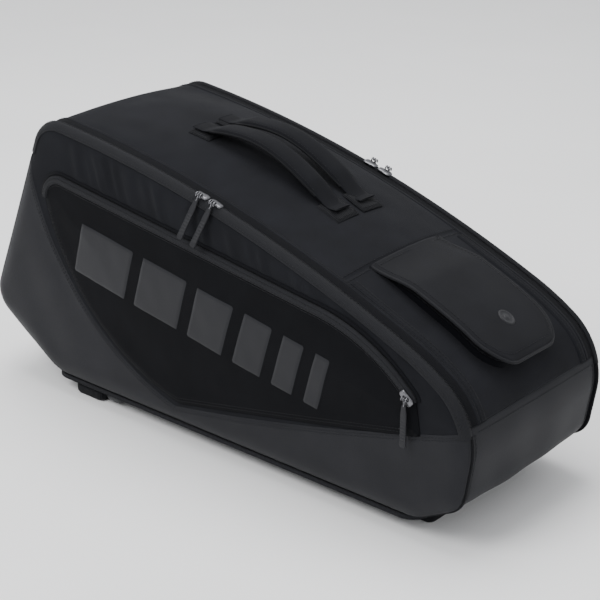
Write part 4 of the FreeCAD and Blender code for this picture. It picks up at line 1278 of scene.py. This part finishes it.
def make_strap(name, side):
    body = f"{name}_strap"
    steps = [(9, -13.9), (3.2, -14.4), (0.9, -16.2), (0.0, -19.0), (0.2, -21.6), (1.6, -24.2), (5.5, -25.9),
             (11, -26.3)]
    y = -STRAP_Y
    low, high = (STRAP_X[0], y - 36), (STRAP_X[1], y + 36)

    def waist(x):
        return 1 - 0.10 * np.sin(math.pi * np.clip((x - STRAP_X[0]) / (STRAP_X[1] - STRAP_X[0]), 0, 1)) ** 2

    def sag(points):
        x, away = points[..., 0], points[..., 1] - y
        under = points[..., 2] < -20
        points[..., 1] = y + away * waist(x)
        channel = np.exp(-(away / 3.0) ** 2) * smooth(321, 356, x) * (1 - smooth(613, 648, x))
        points[..., 2] += np.where(under, 1.5 * channel, 0)
        return points

    piece = pillow(f"{name}_strap_cushion", low, high, 20, steps, MAT["airmesh"], body,
                   f"{name}_strap_pad", side, 4.0, sag, 12)
    loop = dense_loop(box_loop(low, high, 20), 3.0)
    loop[:, 1] = y + (loop[:, 1] - y) * waist(loop[:, 0])
    points, faces, uv = sweep(level(loop, -19.8), loop_out(loop), rounded(6.4, 1.6, 0.7, 2), closed=True)
    mesh(f"{name}_strap_binding", points, faces, MAT["binding"], body, uv, side)

    end_y = -BELT_Y
    path = np.linspace((217.4, end_y, -20.8), (294.0, y, -20.0), 40)
    path[:, 2] += 0.6 * np.sin(np.linspace(0, 3 * math.pi, 40))
    points, faces, uv = sweep(path, facing((0, 0, 1), path), rounded(25, 1.9, 0.7, 2))
    mesh(f"{name}_strap_belt", points, faces, MAT["webbing"], body, uv, side,
         f"{name}_strap_webbing")

    frame_loop = dense_loop(box_loop((293.2, y - 17.3), (305.4, y + 17.3), 3.0), 1.6)
    centre = np.array([299.3, y])
    frame_loop = centre + (frame_loop - centre) * (0.72, 0.9)
    points, faces, uv = sweep(level(frame_loop, -20.2), loop_out(frame_loop), rounded(4.8, 3.2, 1.1, 3),
                              closed=True)
    mesh(f"{name}_ladder_lock", points, faces, MAT["plastic"], body, uv, side,
         f"{name}_strap_ladder_lock")
    bar = np.stack([np.full(12, 298.6), np.linspace(y - 15, y + 15, 12), np.full(12, -20.6)], -1)
    points, faces, uv = sweep(bar, facing((0, 0, 1), bar), rounded(3.0, 2.6, 0.8, 2))
    mesh(f"{name}_ladder_bar", points, faces, MAT["plastic"], body, uv, side)

    steps = [(3, -15.9), (0.9, -16.4), (0, -18.2), (0, -20.2), (0.9, -22.6), (3.4, -23.6), (5.0, -22.9),
             (7.5, -22.9)]
    pillow(f"{name}_clip_shell", (189, end_y - 16.5), (217, end_y + 16.5), 5, steps, MAT["plastic"], body,
           f"{name}_strap_clip", side, 2.0, None, 4)


def make_anchors():
    for label, low_x, high_x, middle, half, node in (("front", 666, 700, STRAP_Y, 38, "front_strap_anchors"),
                                                     ("rear", 136, 188, BELT_Y, 22, "rear_strap_anchors")):
        for name, side in SIDES.items():
            steps = [(6, -13.2), (1.6, -13.8), (0.1, -16.0), (0, -20.0), (0.2, -24.2), (1.8, -27.0),
                     (6.5, -28.1)]
            pillow(f"{name}_{label}_anchor", (low_x, -middle - half), (high_x, -middle + half), 8, steps,
                   MAT["webbing"], "bag_frame", node if side == NEAR else None, side, 2.5, None, 6)
            low, high = (low_x + 5, -middle - half + 5), (high_x - 5, -middle + half - 5)
            loop = dense_loop(box_loop(low, high, 5), 2.0)
            stitching(f"{name}_{label}_anchor_stitching", [(level(loop, -27.9), (0, 0, -1))], MAT["thread"],
                      "bag_frame", side)


# ---------------------------------------------------------------- sliders and pullers

def turn_about(axis, degrees):
    return np.array(Matrix.Rotation(math.radians(degrees), 3, axis))


ARCH = OUTLINE["arch"]
ARCH_CENTRE = ARCH.start - ARCH.radius * np.array([-math.sin(ARCH.heading), math.cos(ARCH.heading)])


def arch_place(x):
    slope = -math.degrees(math.asin((x - ARCH_CENTRE[0]) / ARCH.radius))
    up = np.array([math.sin(math.radians(-slope)), 0, math.cos(math.radians(slope))])
    z = ARCH_CENTRE[1] + math.sqrt(ARCH.radius ** 2 - (x - ARCH_CENTRE[0]) ** 2)
    return slope, up, z


def puller(name, body, turn, pin, length, node):
    """A ribbed rubber tab on a wire eye, hanging along minus z from the pin."""
    wire = []
    for angle in np.linspace(-70, 250, 22):
        wire.append((0.0, 1.75 * math.cos(math.radians(angle)), 1.75 * math.sin(math.radians(angle))))
    neck = [(0.0, 0.9, -2.4), (0.0, 0.75, -8.5)]
    wire = np.array([(0, -0.75, -8.5), (0, -0.9, -2.4)] + wire[::-1] + neck)
    z = -np.linspace(7.0, length, 60)
    share = (-z - 7.0) / (length - 7.0)
    width = 5.4 + 2.6 * smooth(0.0, 0.25, share) + 0.6 * smooth(0.7, 1.0, share)
    width = width * np.sqrt(np.clip(1 - np.clip((share - 0.95) / 0.05, 0, 1) ** 2 * 0.75, 0, 1))
    width[0] *= 0.8
    grip = smooth(0.3, 0.36, share) * (1 - smooth(0.86, 0.92, share))
    thick = 2.5 + grip * 0.55 * np.sin(share * 2 * math.pi * 13)
    thick[0], thick[-1] = 1.6, 1.4
    path = np.stack([0 * z, 0 * z, z], -1)
    profile = np.stack([rounded(w, t, min(w, t) * 0.42, 3) for w, t in zip(width, thick)])
    points, faces, uv = sweep(path, facing((0, 1, 0), path), profile)
    placed = points.reshape(-1, 3) @ turn.T + pin
    mesh(name, placed, faces, MAT["rubber"], body, uv, NEAR, node)
    points, faces, uv = sweep(wire, facing((1, 0, 0), wire), circle(0.62, 8))
    mesh(f"{name}_wire", points.reshape(-1, 3) @ turn.T + pin, faces, MAT["metal"], body, uv)


def slider(name, body, turn, pin, tilt, shift, node):
    """A die-cast slider: a waisted, domed body with turned-down flanges, and a bridge that holds the pin."""
    parts = []
    u = np.linspace(0, 2 * math.pi, 40, endpoint=False)
    cx, sy = np.cos(u), np.sin(u)
    half_x = 10.0 * np.sign(cx) * np.abs(cx) ** 0.6
    waist = 1 - 0.16 * np.exp(-((half_x + 4) / 4.5) ** 2) + 0.04 * half_x / 10
    half_y = 5.6 * np.sign(sy) * np.abs(sy) ** 0.55 * waist
    levels = [(0.02, -2.05), (0.5, -2.08), (0.8, -2.25), (0.93, -2.7), (1.0, -3.4), (1.0, -4.4), (0.93, -4.9),
              (0.5, -5.0), (0.02, -5.0)]
    rings = np.array([np.stack([half_x * k, half_y * k, np.full(40, z)], -1) for k, z in levels])
    tilt_turn = turn_about("Z", tilt)
    rings = rings @ tilt_turn.T + (0, shift, 0)
    parts.append((rings.reshape(-1, 3), quads(len(levels), 40, wrap_cols=True)))
    for ear in (-1, 1):
        path = np.array([(ear * 3.2, y, z) for y, z in ((1.9, -3.0), (2.1, -0.6), (1.2, 1.0), (0, 1.45),
                                                        (-1.2, 1.0), (-2.1, -0.6), (-1.9, -3.0))], float)
        path = resample(path, 20)
        points, faces, _ = sweep(path, facing((1, 0, 0), path), rounded(1.3, 1.5, 0.4, 2))
        parts.append((points.reshape(-1, 3), faces))
    path = np.stack([np.linspace(-4.1, 4.1, 8), np.zeros(8), np.zeros(8)], -1)
    points, faces, _ = sweep(path, facing((0, 0, 1), path), circle(0.85, 12))
    parts.append((points.reshape(-1, 3), faces))
    points, faces = joined(parts)
    mesh(name, points @ turn.T + pin, faces, MAT["metal"], body, node=node)


MAIN_SLIDER_X = {NEAR: (381, 402), FAR: (428, 450)}
MAIN_PIN_Y, MAIN_PIN_HEIGHT, MAIN_BODY_SHIFT, MAIN_PULLER_SWING = 130.3, 5.6, 6.55, -23
PULLER_LENGTH, POD_PULLER_LENGTH = 58.0, 34.0
POCKET_PIN_Y, POCKET_SLIDER_AT, POCKET_TRACK_INSET = 144.8, (700.0, 154.0), 6.0
POD_PIN_X, POD_PIN_Y, POD_PIN_HEIGHT = 650.0, 69.4, 11.5


def make_main_sliders(name, side):
    for end, x in zip(("rear", "front"), MAIN_SLIDER_X[side]):
        slope, up, z = arch_place(x)
        pin = np.array([x, side * MAIN_PIN_Y, z]) + up * MAIN_PIN_HEIGHT
        turn = turn_about("Y", -slope)
        if side == FAR:
            turn = turn @ turn_about("Z", 180)
        slider(f"{name}_{end}_slider_cast", f"{name}_{end}_slider", turn, pin, 0 if end == "rear" else 180,
               MAIN_BODY_SHIFT, f"{name}_{end}_slider")
        hang = turn @ turn_about("X", MAIN_PULLER_SWING)
        puller(f"{name}_{end}_puller_tab", f"{name}_{end}_puller", hang, pin, PULLER_LENGTH,
               f"{name}_{end}_puller")


def make_pocket_slider(name, side):
    centre, radius = circle_through(*POCKET_BEND)
    out = unit(np.array(POCKET_SLIDER_AT) - centre)
    spot = centre + out * (radius - POCKET_TRACK_INSET)
    pin = np.array([spot[0], side * POCKET_PIN_Y, spot[1]])
    heading = math.degrees(math.atan2(-out[0], out[1]))
    slider(f"{name}_pocket_slider_cast", f"{name}_pocket_slider", turn_about("X", -side * 90), pin,
           -side * heading, 0, f"{name}_pocket_slider")
    puller(f"{name}_pocket_puller_tab", f"{name}_pocket_puller", np.eye(3), pin, PULLER_LENGTH,
           f"{name}_pocket_puller")


def make_pod_slider():
    slope, up, z = arch_place(POD_PIN_X)
    pin = np.array([POD_PIN_X, POD_PIN_Y, z]) + up * POD_PIN_HEIGHT
    along = turn_about("Y", -slope)
    upright = along @ turn_about("X", -90) @ turn_about("Z", 90)
    slider("pod_slider_cast", "pod_slider", upright, pin, 90, 0, "pod_slider")
    puller("pod_puller_tab", "pod_puller", along @ turn_about("Y", -90), pin, POD_PULLER_LENGTH, "pod_puller")


# ---------------------------------------------------------------- everything

make_top()
make_end_panel("front_fabric", ["nose", "front", "toe", "bevel"], "front_panel", 71, 3.5)
make_end_panel("rear_fabric", ["chamfer", "tail", "back"], "rear_panel", 72, 5.0)
make_base()
make_divider()
for side_name, side_sign in SIDES.items():
    make_shell(side_name, side_sign)
    make_lower(side_name, side_sign)
    make_edges(side_name, side_sign)
    make_main_zip(side_name, side_sign)
    make_pocket(side_name, side_sign)
    make_side_ledge(side_name, side_sign)
    make_strap(side_name, side_sign)
    make_handle(side_name, side_sign)
    make_main_sliders(side_name, side_sign)
    make_pocket_slider(side_name, side_sign)
make_pod()
make_pod_slider()
make_patches()
make_anchors()
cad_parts["base_board"].data.materials[0] = MAT["board"]


# ---------------------------------------------------------------- floor, light and camera

def make_stage():
    data = bpy.data.meshes.new("floor")
    data.from_pydata([(-8, -8, 0), (8, -8, 0), (8, 8, 0), (-8, 8, 0)], [], [(0, 1, 2, 3)])
    paint = Paint("floor_paper")
    cloud = paint.spread(paint.noise(paint.coordinates("object"), 0.002, 2.0), 0.3, 0.7, 0.98, 1.02)
    data.materials.append(paint.finish(paint.shade((0.93, 0.93, 0.93), cloud), 0.9))
    floor = bpy.data.objects.new("floor", data)
    bpy.context.scene.collection.objects.link(floor)


def area_light(name, place, aim, size, power):
    data = bpy.data.lights.new(name, "AREA")
    data.shape, data.size, data.energy = "DISK", size, power
    lamp = bpy.data.objects.new(name, data)
    lamp.location = place
    lamp.rotation_mode = "QUATERNION"
    lamp.rotation_quaternion = (Vector(aim) - Vector(place)).to_track_quat("-Z", "Y")
    bpy.context.scene.collection.objects.link(lamp)


def make_world():
    world = bpy.data.worlds.new("studio")
    world.use_nodes = True
    background = world.node_tree.nodes["Background"]
    background.inputs[0].default_value = (0.92, 0.93, 0.95, 1)
    background.inputs[1].default_value = 0.95
    bpy.context.scene.world = world


def make_camera():
    azimuth, elevation, roll, distance = 0.70583, 0.39343, -0.00624, 1.78856
    aim = Vector((0.17083, -0.15945, 0.25866))
    right = Vector((math.cos(azimuth), math.sin(azimuth), 0))
    back = Vector((math.sin(azimuth) * math.cos(elevation), -math.cos(azimuth) * math.cos(elevation),
                   math.sin(elevation)))
    up = back.cross(right)
    right, up = (right * math.cos(roll) - up * math.sin(roll), right * math.sin(roll) + up * math.cos(roll))
    data = bpy.data.cameras.new("camera")
    data.sensor_width, data.lens = 36.0, 97.69
    camera = bpy.data.objects.new("camera", data)
    turn = Matrix((right, up, back)).transposed().to_4x4()
    camera.matrix_world = Matrix.Translation(aim + back * distance) @ turn
    bpy.context.scene.collection.objects.link(camera)
    bpy.context.scene.camera = camera


make_stage()
area_light("key", (-0.5, -2.2, 2.6), (0, 0, 0.15), 1.8, 62)
area_light("top", (-0.4, 0.3, 2.8), (0, 0, 0.2), 2.2, 60)
area_light("front", (2.6, -0.6, 1.2), (0.3, 0, 0.15), 1.4, 5)
make_world()
make_camera()
